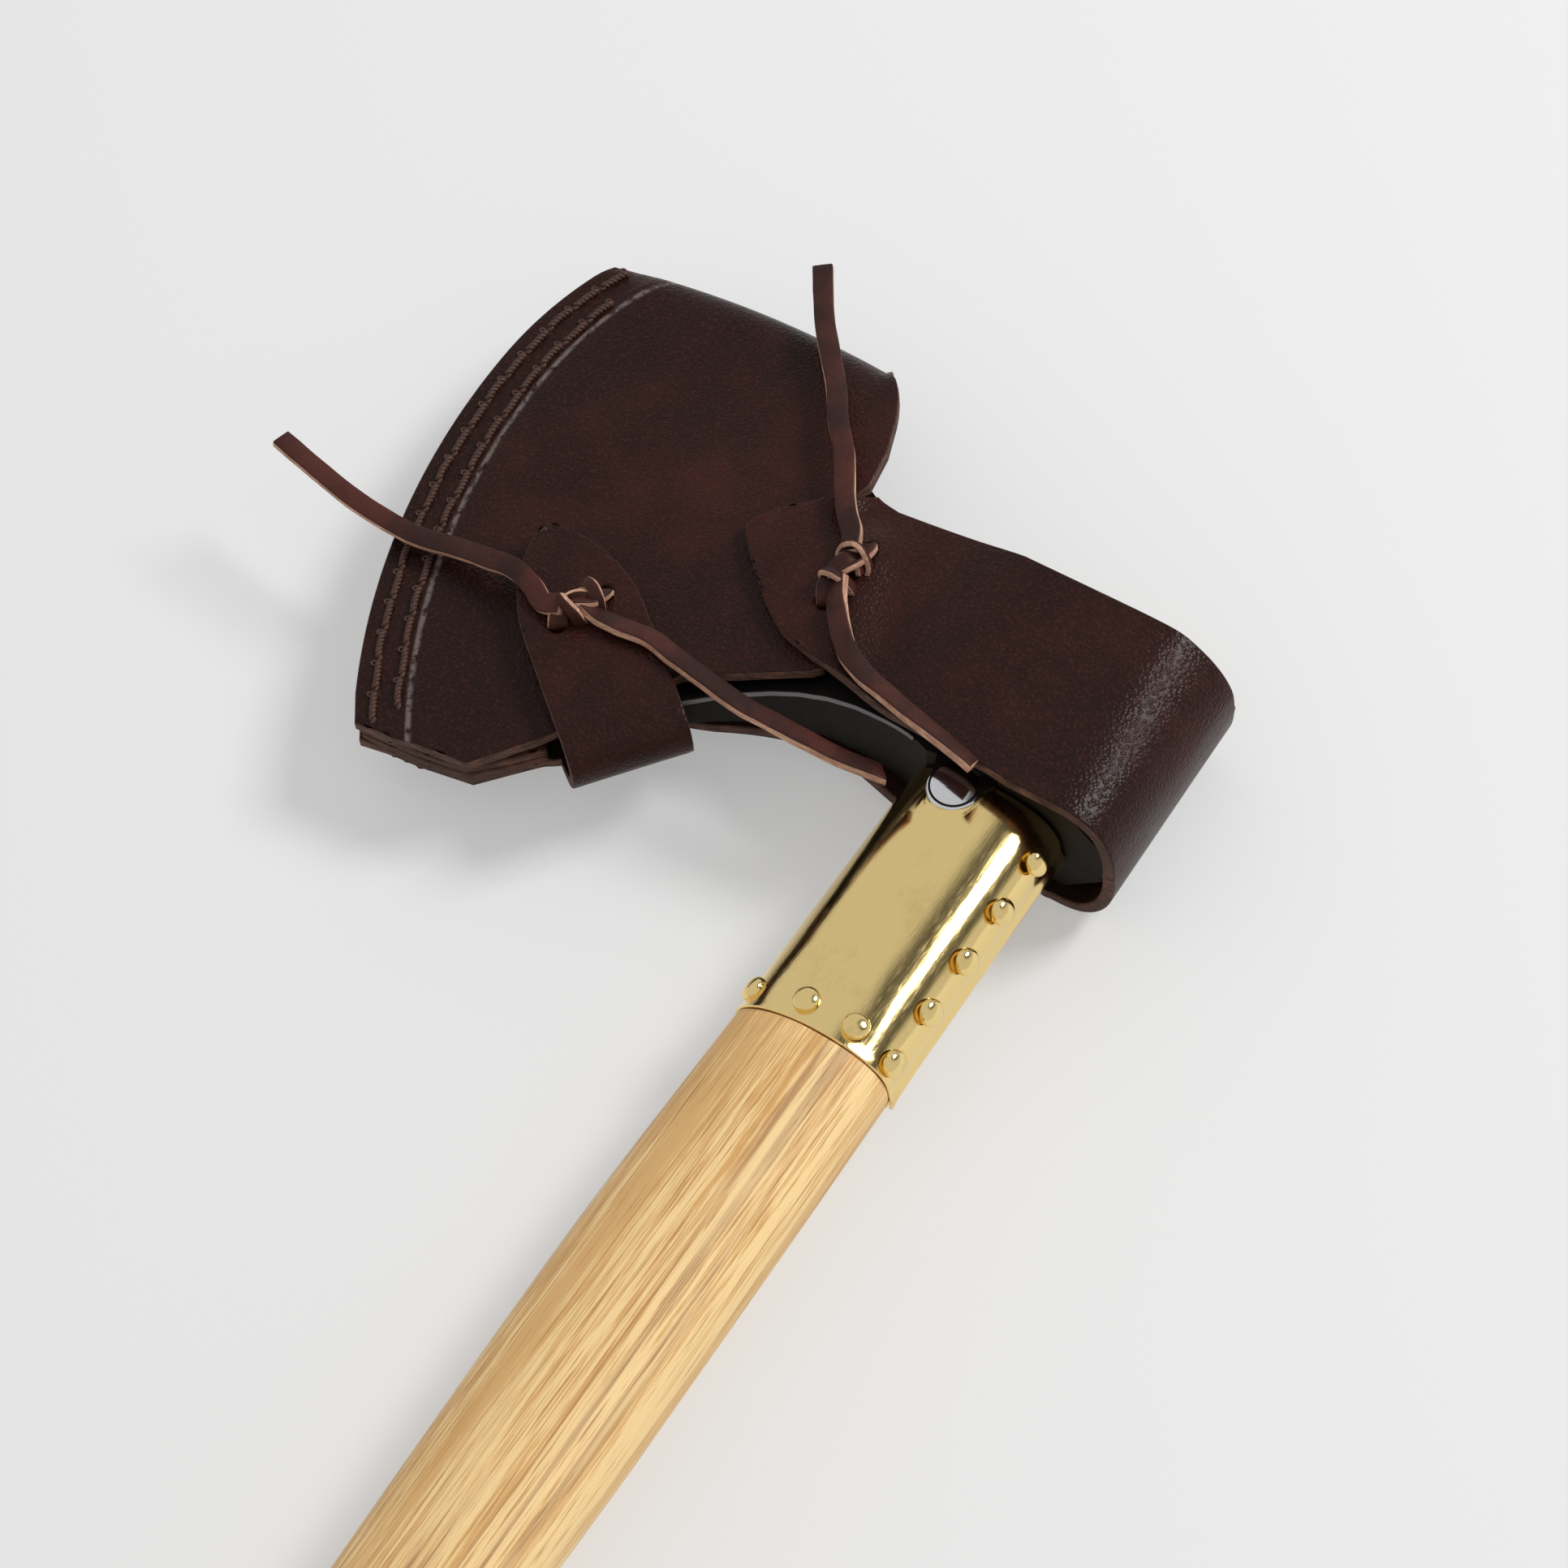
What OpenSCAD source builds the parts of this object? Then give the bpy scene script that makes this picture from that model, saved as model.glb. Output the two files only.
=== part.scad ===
// Bearded hatchet in a tied leather sheath, lying on its side.
// +X runs along the handle to the top of the head, +Y to the cutting edge, +Z up.
// The origin is under the centre of the eye, on the surface that the hatchet lies on.

/* [Head] */
// Thickness of the poll and the cheeks
poll_t = 30; // [26:0.5:34]
// Distance from the eye axis to the back of the poll
poll_back = 26; // [24:0.5:28]
// Height of the head at the poll, above and below the eye's middle
poll_half_h = 21; // [20:0.5:22]
// Distance over which the steel cheek thins to about a third
steel_fade = 44; // [38:1:50]
// Radius of the cutting edge towards the heel
edge_r = 165; // [150:1:180]
// Radius of the cutting edge towards the toe
toe_r = 85; // [75:1:95]
// Distance from the sheath's rim to the steel edge
edge_inset = 12; // [11:0.5:14]
// Width of a lug beside the handle
lug_w = 10; // [8:0.5:12]

/* [Handle] */
// Length of the handle below the middle of the eye
handle_below = 352; // [300:1:420]
// Depth of the handle at its thickest grip section
grip_depth = 35.4; // [32:0.2:38]
// Depth of the knob at the end
knob_depth = 42; // [40:0.5:46]
// Thickness of the knob at the end
knob_t = 28; // [26:0.5:32]
// Diameter of the hanging hole
hang_d = 8; // [6:0.5:10]

/* [Brass sleeve] */
// Length of the sleeve below the head
sleeve_len = 63; // [50:1:66]
// Thickness of the brass sheet
sheet_t = 0.8; // [0.5:0.1:1]
// Diameter of a tack's domed head
tack_d = 5.4; // [4:0.2:6]
// Spacing of the tacks along the seam
seam_pitch = 12.8; // [12:0.1:13]

/* [Sheath] */
// Thickness of the leather
leather_t = 2.7; // [2.2:0.1:3]
// Gap between the leather and the steel at the poll
gap = 0.3; // [0.2:0.05:0.4]
// Distance over which the space between the panels narrows to about a third
pouch_fade = 58; // [52:1:66]
// Thickness of the welt between the panels
welt_t = 3.4; // [3:0.1:3.6]
// Width of the strap round the poll
poll_strap_w = 47; // [44:1:50]
// Width of the strap round the beard
beard_strap_w = 25; // [20:1:26]
// Spacing of the stitches
stitch_pitch = 7.5; // [6:0.5:9]
// Diameter of the stitching thread
thread_d = 1.2; // [0.8:0.1:1.4]
// Width of the thong that ties the straps
thong_w = 4; // [3:0.5:4]

/* [Hidden] */

axis_h = poll_t / 2 + gap + leather_t;
poll_half = poll_t / 2;
lug_tip = [-poll_half_h - 4.6, 4.6];
lug_base = 10.2;
lug_t = 1.4;

// Centre of the edge's heel arc, which is also the axis of the cheeks' taper
edge_x = 21;
edge_y = 145.6 - edge_r;
toe_y = 145.6 - toe_r;
cheek_r = 38;
steel_r = edge_r - edge_inset;
bevel_l = 8;
// The panels pinch together on the welt within this distance of the edge
pinch_l = 4;

// Ends of the rim's arcs, as angles about their centres
toe_a = 66.4;
heel_a = 121.3;

// The corners that the straps bend round
poll_hinge_y = -poll_back - 0.5;
poll_hinge_z = poll_half + gap;
strap_x0 = -poll_strap_w / 2 + 0.4;
strap_x1 = poll_strap_w / 2 + 0.4;

// Beard strap: the outer corner of its bend and its direction across the beard
beard_bend = [-50.5, 63.2];
beard_turn = 51.5;
beard_low_z = -5.1;
beard_top_z = 8.6;

// Sleeve
sleeve_top = -poll_half_h - 0.4;
sleeve_end = sleeve_top - sleeve_len;
rebate = sheet_t + 0.05;
eye_gap = 0.05;

// Tack places round the rim: [y, z, angle of the outward normal from +Y]
rim_x = sleeve_end + 4.6;
rim_front = [[15.6, 3.6, 35], [3.2, 10.9, 78], [-7.8, 10.9, 96]];
seam_y = -16.6;
seam_z = 6.4;
seam_a = 150;

// Handle sections: [x, towards the poll, towards the edge, half thickness]
eye_top = [poll_half_h + 3, 14.2, 14.8, 8.9];
eye_low = [-poll_half_h - 0.2, 15, 15.4, 9.2];
sleeve_high = [sleeve_top, 17, 16.6, 10.6];
sleeve_low = [sleeve_end, 17.5, 17, 11.2];
grip_sections = [
    [sleeve_end - 0.3, 17.4, 16.8, 11.1],
    [-130, grip_depth / 2, grip_depth / 2, 11.8],
    [-180, grip_depth / 2, grip_depth / 2 - 0.6, 12],
    [-240, 16.2, 15.6, 11.6],
    [-290, 17, 14.8, 11.6],
    [-322, 21, 15.4, 12.4],
    [-338, 24, knob_depth - 25, knob_t / 2],
    [-handle_below + 3, 24.2, knob_depth - 25.4, knob_t / 2 - 0.6],
    [-handle_below, 21.4, knob_depth - 28, knob_t / 2 - 3.4]
];
hang_x = -332;
hang_y = -3;
hang_flat = 12.2;

// Stitch rows: distance inside the rim, first and last distance along it
outer_row = 4;
inner_row = 9;

// Thong holes and knots, [x, y]
poll_holes = [[11.5, 47.8], [-3.5, 48.1]];
beard_holes = [[-33.9, 92.5], [-22.9, 88.7]];
hole_r = 2.2;
poll_hole_top = 14.4;
beard_leaf_top = beard_top_z + leather_t;

// Routes of the four loose thong ends, heights from the middle of the blade
poll_upper_route = [
    [11.2, 51.2, 17.8], [14, 54, 17.6], [19, 58, 17], [28, 64, 16], [35, 70, 15.2],
    [42, 75, 14.4], [49, 81, 13.6], [56, 87, 13], [63, 92, 12.6], [69, 96, 12.4]
];
poll_lower_route = [
    [-4, 45, 18], [-8, 42, 18], [-13, 37, 17.8], [-16, 31, 17.6],
    [-18, 24, 17.8], [-20, 16, 18], [-22, 8, 18.6], [-24, 1, 19]
];
beard_outer_route = [
    [-32, 97, 13.4], [-30, 101, 13.4], [-28, 107, 13], [-28, 114, 11.6], [-28, 122, 9.6],
    [-29, 130, 8.4], [-29, 138, 8], [-28, 149, 8.2], [-26, 160, 8.8], [-24, 170, 9.4]
];
beard_inner_route = [
    [-29, 86, 13.4], [-29, 81, 13.4], [-28, 74, 13], [-29, 67, 12.4], [-30, 59, 11.8],
    [-31, 51, 11.2], [-31, 44, 10.8], [-31, 36, 10.5], [-31, 28, 10.4], [-30, 18, 10.4]
];

leather_c = "#34201c";
edge_c = "#5a3424";

// ---------- functions ----------

// Half thickness that tapers with the distance from the taper's axis
function cheek(r, fade) = poll_half * exp(-max(0, r - cheek_r) / fade);
// Radii at which the taper is evaluated, as far as the steel edge
taper_steps = 10;
cheek_steps = [for (i = [0 : taper_steps]) cheek_r + (steel_r - cheek_r) * i / taper_steps];

// Points of an arc about a centre
function arc(cx, cy, r, a0, a1, n) =
    [for (i = [0 : n]) let (a = a0 + (a1 - a0) * i / n) [cx + r * cos(a), cy + r * sin(a)]];
// Points of a cubic curve
function curve(p0, p1, p2, p3, n) =
    [for (i = [0 : n]) let (t = i / n, u = 1 - t)
        u * u * u * p0 + 3 * u * u * t * p1 + 3 * u * t * t * p2 + t * t * t * p3];
// The sheath's rim, drawn inwards by a distance, from the toe to the heel
function rim(d) = concat(
    arc(edge_x, toe_y, toe_r - d, toe_a, 90, 8),
    arc(edge_x, edge_y, edge_r - d, 90, heel_a, 12)
);
// Length of the toe's arc and place of a stitch along a row
function toe_len(d) = (toe_r - d) * (90 - toe_a) * PI / 180;
function row_angle(d, s) = s < toe_len(d)
    ? toe_a + s / (toe_r - d) * 180 / PI
    : 90 + (s - toe_len(d)) / (edge_r - d) * 180 / PI;
function row_point(d, s) = let (a = row_angle(d, s)) s < toe_len(d)
    ? [edge_x + (toe_r - d) * cos(a), toe_y + (toe_r - d) * sin(a)]
    : [edge_x + (edge_r - d) * cos(a), edge_y + (edge_r - d) * sin(a)];

// Egg-shaped section of the handle: blunt at the poll side, lean at the edge side
function signed_pow(v, e) = sign(v) * pow(abs(v), e);
function egg(x, back, front, half, grow, n) = [for (i = [0 : n - 1])
    let (a = 360 * i / n, c = cos(a), s = sin(a))
    [x,
     c > 0 ? (front + grow) * pow(c, 1.2) : -(back + grow) * pow(-c, 0.78),
     (half + grow) * signed_pow(s, c > 0 ? 1.15 : 0.84)]];
// Section from a row of the lists above, grown all round
function section(row, grow) = egg(row[0], row[1], row[2], row[3], grow, 48);

// ---------- shared shapes ----------

// Closed skin through rings of equal point count, each clockwise as seen from the ring after it
module loft(rings) {
    n = len(rings[0]);
    m = len(rings);
    side = [for (j = [0 : m - 2]) for (i = [0 : n - 1]) let (k = (i + 1) % n)
        each [[j * n + i, (j + 1) * n + k, (j + 1) * n + i],
              [j * n + i, j * n + k, (j + 1) * n + k]]];
    ends = [[for (i = [n - 1 : -1 : 0]) i], [for (i = [0 : n - 1]) (m - 1) * n + i]];
    polyhedron(points = [for (r = rings) each r], faces = concat(side, ends), convexity = 6);
}

// Tube swept along a route with its own ring frames
module tube(route, r) {
    last = len(route) - 1;
    rings = [for (i = [0 : last]) let (
            t = route[min(i + 1, last)] - route[max(i - 1, 0)],
            d = t / norm(t),
            e = cross([0, 0, 1], d),
            u = e / norm(e),
            v = cross(d, u))
        [for (k = [0 : 7]) route[i] + r * (cos(45 * k) * u - sin(45 * k) * v)]];
    loft(rings);
}

// Solid of revolution that tapers like the cheeks, grown by an offset
module cheek_body(fade, grow, least) {
    taper = [for (r = cheek_steps) [r, max(least, cheek(r, fade) + grow)]];
    margin = [[steel_r + pinch_l, least], [steel_r + 30, least]];
    top = concat([[0, poll_half + grow]], taper, margin);
    bottom = [for (i = [len(top) - 1 : -1 : 0]) [top[i][0], -top[i][1]]];
    translate([edge_x, edge_y, 0])
        rotate_extrude($fn = 180)
            polygon(concat(top, bottom));
}

// ---------- head ----------

module head_outline() {
    polygon(concat(
        rim(edge_inset),
        curve([-61, 104], [-53, 76], [-19, 62], [-18.3, 32], 14),
        curve([-18.3, 32], [-18.3, 24], [-19, 18], [-poll_half_h, 14], 6),
        [[-poll_half_h, -poll_back], [poll_half_h + 1, -poll_back]],
        curve([poll_half_h + 1, 36], [poll_half_h + 2, 66], [52, 76], [53.6, 108], 12)
    ));
}

// Rounded tongue of a lug, with room round it or none
module lug_outline(room) {
    translate(lug_tip)
        circle(d = lug_w + 2 * room, $fn = 48);
    polygon([[-poll_half_h + 1, 11.5 + room], [-poll_half_h + 1, -3 - room],
        lug_tip + [0, -lug_w / 2 - room], lug_tip + [-0.6, lug_w / 2 + room]]);
}

module head_lug() {
    translate([0, 0, lug_base])
        linear_extrude(lug_t)
            lug_outline(0);
}

// Ground edge: the steel thins to a keen line along both arcs of the rim
module edge_grind() {
    start = steel_r - bevel_l;
    half = cheek(start, steel_fade);
    translate([edge_x, edge_y, 0])
        rotate_extrude($fn = 180)
            polygon([[0, half + 20], [start, half], [steel_r, 0.2], [steel_r, -0.2],
                [start, -half], [0, -half - 20]]);
}

module poll_chamfers() {
    cut = 10;
    for (s = [-1, 1])
        translate([0, -poll_back, s * poll_half])
            rotate([45, 0, 0])
                cube([4 * poll_half_h, cut * sqrt(2), cut * sqrt(2)], center = true);
}

module axe_head() {
    color("#b9bcc0") difference() {
        union() {
            intersection() {
                translate([0, 0, -poll_half])
                    linear_extrude(poll_t)
                        head_outline();
                cheek_body(steel_fade, 0, 0.2);
                edge_grind();
            }
            for (s = [0, 1])
                mirror([0, 0, s])
                    head_lug();
        }
        poll_chamfers();
        loft([section(eye_top + [1, 0, 0, 0], eye_gap), section(eye_low - [1, 0, 0, 0], eye_gap)]);
    }
}

// ---------- handle ----------

function handle_rings() = concat(
    [section(eye_top, 0), section(eye_low, 0)],
    [section(sleeve_high, -rebate), section(sleeve_low, -rebate)],
    [for (row = grip_sections) section(row, 0)]
);

// Side view of a wedge that is driven in from the top, with room round it or none
module wedge_outline(top, tip, tip_x, room) {
    top_x = poll_half_h + 3 + room * 20;
    polygon([[top_x, top / 2 + room], [tip_x - room, tip / 2 + room],
        [tip_x - room, -tip / 2 - room], [top_x, -top / 2 - room]]);
}

module wood_wedge_blank(room) {
    translate([0, 0.5, 0])
        rotate([90, 0, 0])
            linear_extrude(22 + 2 * room, center = true)
                wedge_outline(3, 0.9, -8, room);
}

module cross_blank(room) {
    translate([0, -3, 0])
        linear_extrude(11 + 2 * room, center = true)
            wedge_outline(2, 0.6, 5, room);
}

module handle() {
    color("#e2bd84") difference() {
        loft(handle_rings());
        wood_wedge_blank(0.1);
        cross_blank(0.1);
        translate([hang_x, hang_y, -knob_t])
            cylinder(d = hang_d, h = 2 * knob_t, $fn = 64);
        for (s = [0, 1])
            mirror([0, 0, s])
                translate([hang_x, hang_y, hang_flat])
                    cylinder(d = hang_d + 3, h = knob_t, $fn = 64);
    }
}

module eye_wedge() {
    color("#c89a5c") difference() {
        wood_wedge_blank(0);
        cross_blank(0.1);
    }
}

module cross_wedge() {
    color("#8d9196") cross_blank(0);
}

// ---------- brass sleeve ----------

module brass_sleeve() {
    color("#d9b867") difference() {
        loft([section(sleeve_high, 0), section(sleeve_low, 0)]);
        loft([section(sleeve_high + [0.01, 0, 0, 0], -sheet_t),
            section(sleeve_low - [0.01, 0, 0, 0], -sheet_t)]);
        for (s = [0, 1])
            mirror([0, 0, s])
                translate([0, 0, 6])
                    linear_extrude(10)
                        lug_outline(0.4);
    }
}

// Domed head with its nail, pointing along +Y before it is turned
module tack(turn) {
    rise = 1.6;
    nail_l = 4.5;
    dome_r = (tack_d * tack_d / 4 + rise * rise) / (2 * rise);
    rotate([turn, 0, 0]) rotate([-90, 0, 0]) {
        intersection() {
            translate([0, 0, rise - dome_r])
                sphere(dome_r, $fn = 48);
            cylinder(d = tack_d, h = rise + 1, $fn = 48);
        }
        translate([0, 0, -nail_l])
            cylinder(d = 1.4, h = nail_l + 0.4, $fn = 24);
    }
}

module seam_tacks() {
    color("#d9b867")
        for (i = [0 : 4])
            translate([sleeve_end + 3.6 + i * seam_pitch, seam_y, seam_z])
                tack(seam_a);
}

module rim_tacks() {
    color("#d9b867")
        for (s = [0, 1])
            mirror([0, 0, s])
                for (p = rim_front)
                    translate([rim_x, p[0], p[1]])
                        tack(p[2]);
}

// ---------- sheath ----------

// Outline of the panel that shows, from the toe round to the fold
module front_outline() {
    polygon(concat(
        rim(0),
        [[-70.6, 117.4], [-67.5, 91.7], [-55.9, 82.6]],
        curve([-29.9, 65.5], [-26, 58], [-21, 50], [-17.3, 42.8], 4),
        [[-15, 46], [28, 56], [36, 59]],
        curve([44, 62], [50, 64.5], [55, 68], [58.3, 72.8], 4),
        curve([58.3, 72.8], [61, 95], [59, 120], [55, 138.5], 8)
    ));
}

// Outline of the panel below, which runs on as the roots of both straps
module back_outline() {
    polygon(concat(
        rim(0),
        [[-70.6, 117.4], [-66, 92.9], [-52.4, 79.3]],
        curve([-34, 66], [-27, 58], [-21, 48], [-20, 35], 6),
        [[strap_x0, 20], [strap_x0, poll_hinge_y], [strap_x1, poll_hinge_y], [strap_x1, 48],
         [28, 56], [36, 59]],
        curve([44, 62], [50, 64.5], [55, 68], [58.3, 72.8], 4),
        curve([58.3, 72.8], [61, 95], [59, 120], [55, 138.5], 8)
    ));
}

module fold_strip() {
    in = leather_t;
    polygon(concat(
        curve([58.3, 72.8], [61, 95], [59, 120], [55, 138.5], 8),
        curve([55 - in, 137.2], [59 - in, 120], [61 - in, 95], [58.3 - in, 72.8], 8)
    ));
}

// Half-open layer of leather that follows the cheeks on one side
module cheek_layer(side, inner, thick) {
    intersection() {
        translate([0, 0, side > 0 ? 0 : -40])
            linear_extrude(40)
                children();
        difference() {
            cheek_body(pouch_fade, inner + thick, welt_t / 2 + thick);
            cheek_body(pouch_fade, inner, welt_t / 2);
        }
    }
}

module at_beard() {
    translate([beard_bend[0], beard_bend[1], 0])
        rotate([0, 0, beard_turn])
            children();
}

module pouch() {
    root_l = 14;
    color(leather_c) {
        cheek_layer(1, gap, leather_t)
            front_outline();
        cheek_layer(-1, gap, leather_t)
            back_outline();
        intersection() {
            translate([0, 0, -40])
                linear_extrude(80)
                    fold_strip();
            cheek_body(pouch_fade, gap + leather_t, welt_t / 2 + leather_t);
        }
        at_beard()
            translate([leather_t, -beard_strap_w / 2, beard_low_z - leather_t])
                cube([root_l, beard_strap_w, leather_t]);
    }
}

module edge_welt() {
    inner = rim(edge_inset - 0.4);
    color(edge_c)
        translate([0, 0, -welt_t / 2])
            linear_extrude(welt_t)
                difference() {
                    polygon(concat(rim(0.6), [for (i = [len(inner) - 1 : -1 : 0]) inner[i]]));
                    fold_strip();
                }
}

// Height of the leather's face near the rim, at a distance from the taper's axis
function rim_face(r) = let (rise = cheek(steel_r, pouch_fade) + gap - welt_t / 2)
    welt_t / 2 + leather_t + rise * max(0, steel_r + pinch_l - r) / pinch_l;

// One row of stitches on both faces, each a short thread laid along the rim
module stitch_row(d, first, count) {
    for (i = [0 : count - 1]) {
        s = first + i * stitch_pitch;
        at = row_point(d, s);
        z = rim_face(norm(at - [edge_x, edge_y]) - 1) + thread_d / 2 + 0.05;
        turn = row_angle(d, s) + 90;
        for (side = [-1, 1])
            translate([at[0], at[1], side * z])
                rotate([0, 0, turn])
                    rotate([0, 90, 0])
                        cylinder(d = thread_d, h = stitch_pitch - 1.6, center = true, $fn = 24);
    }
}

module outer_stitches() {
    color("#6b4630") stitch_row(outer_row, 5, 17);
}

module inner_stitches() {
    color("#6b4630") stitch_row(inner_row, 12, 15);
}

// ---------- straps ----------

module poll_strap_web() {
    color(leather_c)
        translate([strap_x0, poll_hinge_y - leather_t, -poll_hinge_z])
            cube([poll_strap_w, leather_t, 2 * poll_hinge_z]);
}

module poll_leaf_outline() {
    polygon(concat(
        [[strap_x1, poll_hinge_y], [strap_x0, poll_hinge_y], [strap_x0, -4]],
        curve([-20.3, 16.2], [-17, 36], [-15, 56], [6.3, 73.7], 10),
        [[12, 70.5], [18.6, 63.5], [25.5, 55], [strap_x1, 48.5]]
    ));
}

// The leaf lies on the poll, then climbs over the end of the front panel
module leaf_layer() {
    step0 = 62;
    step1 = 73;
    lift = leather_t + 0.4;
    low = gap;
    top = [for (r = [38, 50, 62, 73, 85, 97, 110])
        [r, cheek(r, pouch_fade) + low + lift * min(1, max(0, (r - step0) / (step1 - step0)))]];
    inner = concat([[0, poll_half + low]], top);
    outer = [for (i = [len(inner) - 1 : -1 : 0]) inner[i] + [0, leather_t]];
    translate([edge_x, edge_y, 0])
        rotate_extrude($fn = 180)
            polygon(concat(inner, outer));
}

module poll_strap_leaf() {
    color(leather_c) difference() {
        intersection() {
            leaf_layer();
            linear_extrude(40)
                poll_leaf_outline();
        }
        for (p = poll_holes)
            translate([p[0], p[1], 5])
                cylinder(r = hole_r, h = 20, $fn = 32);
    }
}

module beard_strap_web() {
    color(leather_c)
        at_beard()
            translate([0, -beard_strap_w / 2, beard_low_z])
                cube([leather_t, beard_strap_w, beard_top_z - beard_low_z]);
}

module beard_strap_leaf() {
    half = beard_strap_w / 2;
    straight = 33;
    tip = 58.6;
    color(leather_c) difference() {
        at_beard()
            translate([0, 0, beard_top_z])
                linear_extrude(leather_t)
                    polygon(concat(
                        [[leather_t, half], [leather_t, -half]],
                        curve([straight, -half], [44, -half], [54, -6], [tip, 0], 8),
                        curve([tip, 0], [54, 7], [44, half], [straight, half], 8)
                    ));
        for (p = beard_holes)
            translate([p[0], p[1], 0])
                cylinder(r = hole_r, h = 20, $fn = 32);
    }
}

// ---------- thongs ----------

// Tied knot between a pair of holes, with a leg down into each
module knot(holes, face) {
    legs = 1.4;
    mid = (holes[0] + holes[1]) / 2;
    color(leather_c) {
        hull()
            for (p = holes)
                translate([(p[0] + mid[0]) / 2, (p[1] + mid[1]) / 2, face + 2.8])
                    sphere(2.6, $fn = 24);
        for (p = holes)
            translate([p[0], p[1], face - 2])
                cylinder(r = legs, h = 4, $fn = 24);
        for (p = holes)
            hull() {
                translate([p[0], p[1], face + 2])
                    sphere(legs, $fn = 16);
                translate([mid[0], mid[1], face + 2.8])
                    sphere(legs, $fn = 16);
            }
    }
}

module poll_thong_knot() {
    knot(poll_holes, poll_hole_top);
}

module beard_thong_knot() {
    knot(beard_holes, beard_leaf_top);
}

module tail(route) {
    color("#4a2a22") tube(route, thong_w / 2 - 0.6);
}

module poll_tail_upper() {
    tail(poll_upper_route);
}

module poll_tail_lower() {
    tail(poll_lower_route);
}

module beard_tail_outer() {
    tail(beard_outer_route);
}

module beard_tail_inner() {
    tail(beard_inner_route);
}

// ---------- assembly ----------

module lifted() {
    translate([0, 0, axis_h])
        children();
}

lifted() axe_head();
lifted() handle();
lifted() eye_wedge();
lifted() cross_wedge();
lifted() brass_sleeve();
lifted() seam_tacks();
lifted() rim_tacks();
lifted() pouch();
lifted() edge_welt();
lifted() outer_stitches();
lifted() inner_stitches();
lifted() poll_strap_web();
lifted() poll_strap_leaf();
lifted() beard_strap_web();
lifted() beard_strap_leaf();
lifted() poll_thong_knot();
lifted() poll_tail_upper();
lifted() poll_tail_lower();
lifted() beard_thong_knot();
lifted() beard_tail_outer();
lifted() beard_tail_inner();
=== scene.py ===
import math

import bpy
import numpy as np
from mathutils import Matrix, Vector
from mathutils.geometry import delaunay_2d_cdt


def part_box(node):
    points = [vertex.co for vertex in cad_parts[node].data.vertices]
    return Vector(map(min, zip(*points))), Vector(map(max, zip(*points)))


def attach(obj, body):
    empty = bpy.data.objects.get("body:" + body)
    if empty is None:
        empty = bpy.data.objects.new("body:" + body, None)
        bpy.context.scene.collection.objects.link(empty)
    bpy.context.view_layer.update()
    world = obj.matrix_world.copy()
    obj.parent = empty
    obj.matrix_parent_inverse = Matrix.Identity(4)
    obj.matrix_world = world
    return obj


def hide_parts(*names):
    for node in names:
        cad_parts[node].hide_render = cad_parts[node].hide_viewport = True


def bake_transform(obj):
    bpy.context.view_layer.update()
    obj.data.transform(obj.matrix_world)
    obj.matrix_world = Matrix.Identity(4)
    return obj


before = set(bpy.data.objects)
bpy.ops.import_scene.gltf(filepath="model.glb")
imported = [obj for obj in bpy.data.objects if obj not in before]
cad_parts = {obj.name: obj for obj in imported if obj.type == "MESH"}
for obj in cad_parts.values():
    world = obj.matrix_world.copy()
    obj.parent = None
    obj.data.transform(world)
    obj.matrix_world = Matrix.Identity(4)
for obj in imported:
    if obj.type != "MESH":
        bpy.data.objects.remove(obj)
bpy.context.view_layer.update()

# Shapes are worked out in millimetres, in the frame's axes, and made in metres.
MM = 0.001

# ---------------------------------------------------------------- sizes from the frame

HEAD_LOW, HEAD_HIGH = [[c / MM for c in corner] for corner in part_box("axe_head")]
SLEEVE_LOW, SLEEVE_HIGH = [[c / MM for c in corner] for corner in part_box("brass_sleeve")]
HANDLE_LOW, HANDLE_HIGH = [[c / MM for c in corner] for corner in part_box("handle")]
WEB_LOW, WEB_HIGH = [[c / MM for c in corner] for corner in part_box("poll_strap_web")]
MID_Z = (HEAD_LOW[2] + HEAD_HIGH[2]) / 2
POLL_HALF = (HEAD_HIGH[2] - HEAD_LOW[2]) / 2

# Leather
LEATHER = 2.7
GAP = 0.3
WELT = 3.4
POUCH_FADE = 58
ROUNDING = 0.5
GROOVE_IN = 11.3
GROOVE_SINK = 0.35
GROOVE_WIDE = 1.1

# The sheath's rim: a toe arc and a long heel arc, whose centre is also the taper's axis
EDGE_C = np.array([21.0, -19.4])
TOE_C = np.array([21.0, 60.6])
EDGE_R = 165
TOE_R = 85
TOE_A = 66.4
HEEL_A = 121.3
CHEEK_R = 38
STEEL_R = 153
PINCH = 4

# Straps
STRAP_X0 = WEB_LOW[0]
STRAP_X1 = WEB_HIGH[0]
BEARD_BEND = np.array([-50.5, 63.2])
BEARD_TURN = math.radians(51.5)
BEARD_ALONG = np.array([math.cos(BEARD_TURN), math.sin(BEARD_TURN)])
BEARD_ACROSS = np.array([-math.sin(BEARD_TURN), math.cos(BEARD_TURN)])
BEARD_HALF = 12.5
BEARD_LOW = -5.1
BEARD_TOP = 8.6
HOLE_R = 2.1
POLL_HOLES = [(11.5, 47.8), (-3.5, 48.1)]
BEARD_HOLES = [(-33.9, 92.5), (-22.9, 88.7)]

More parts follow.
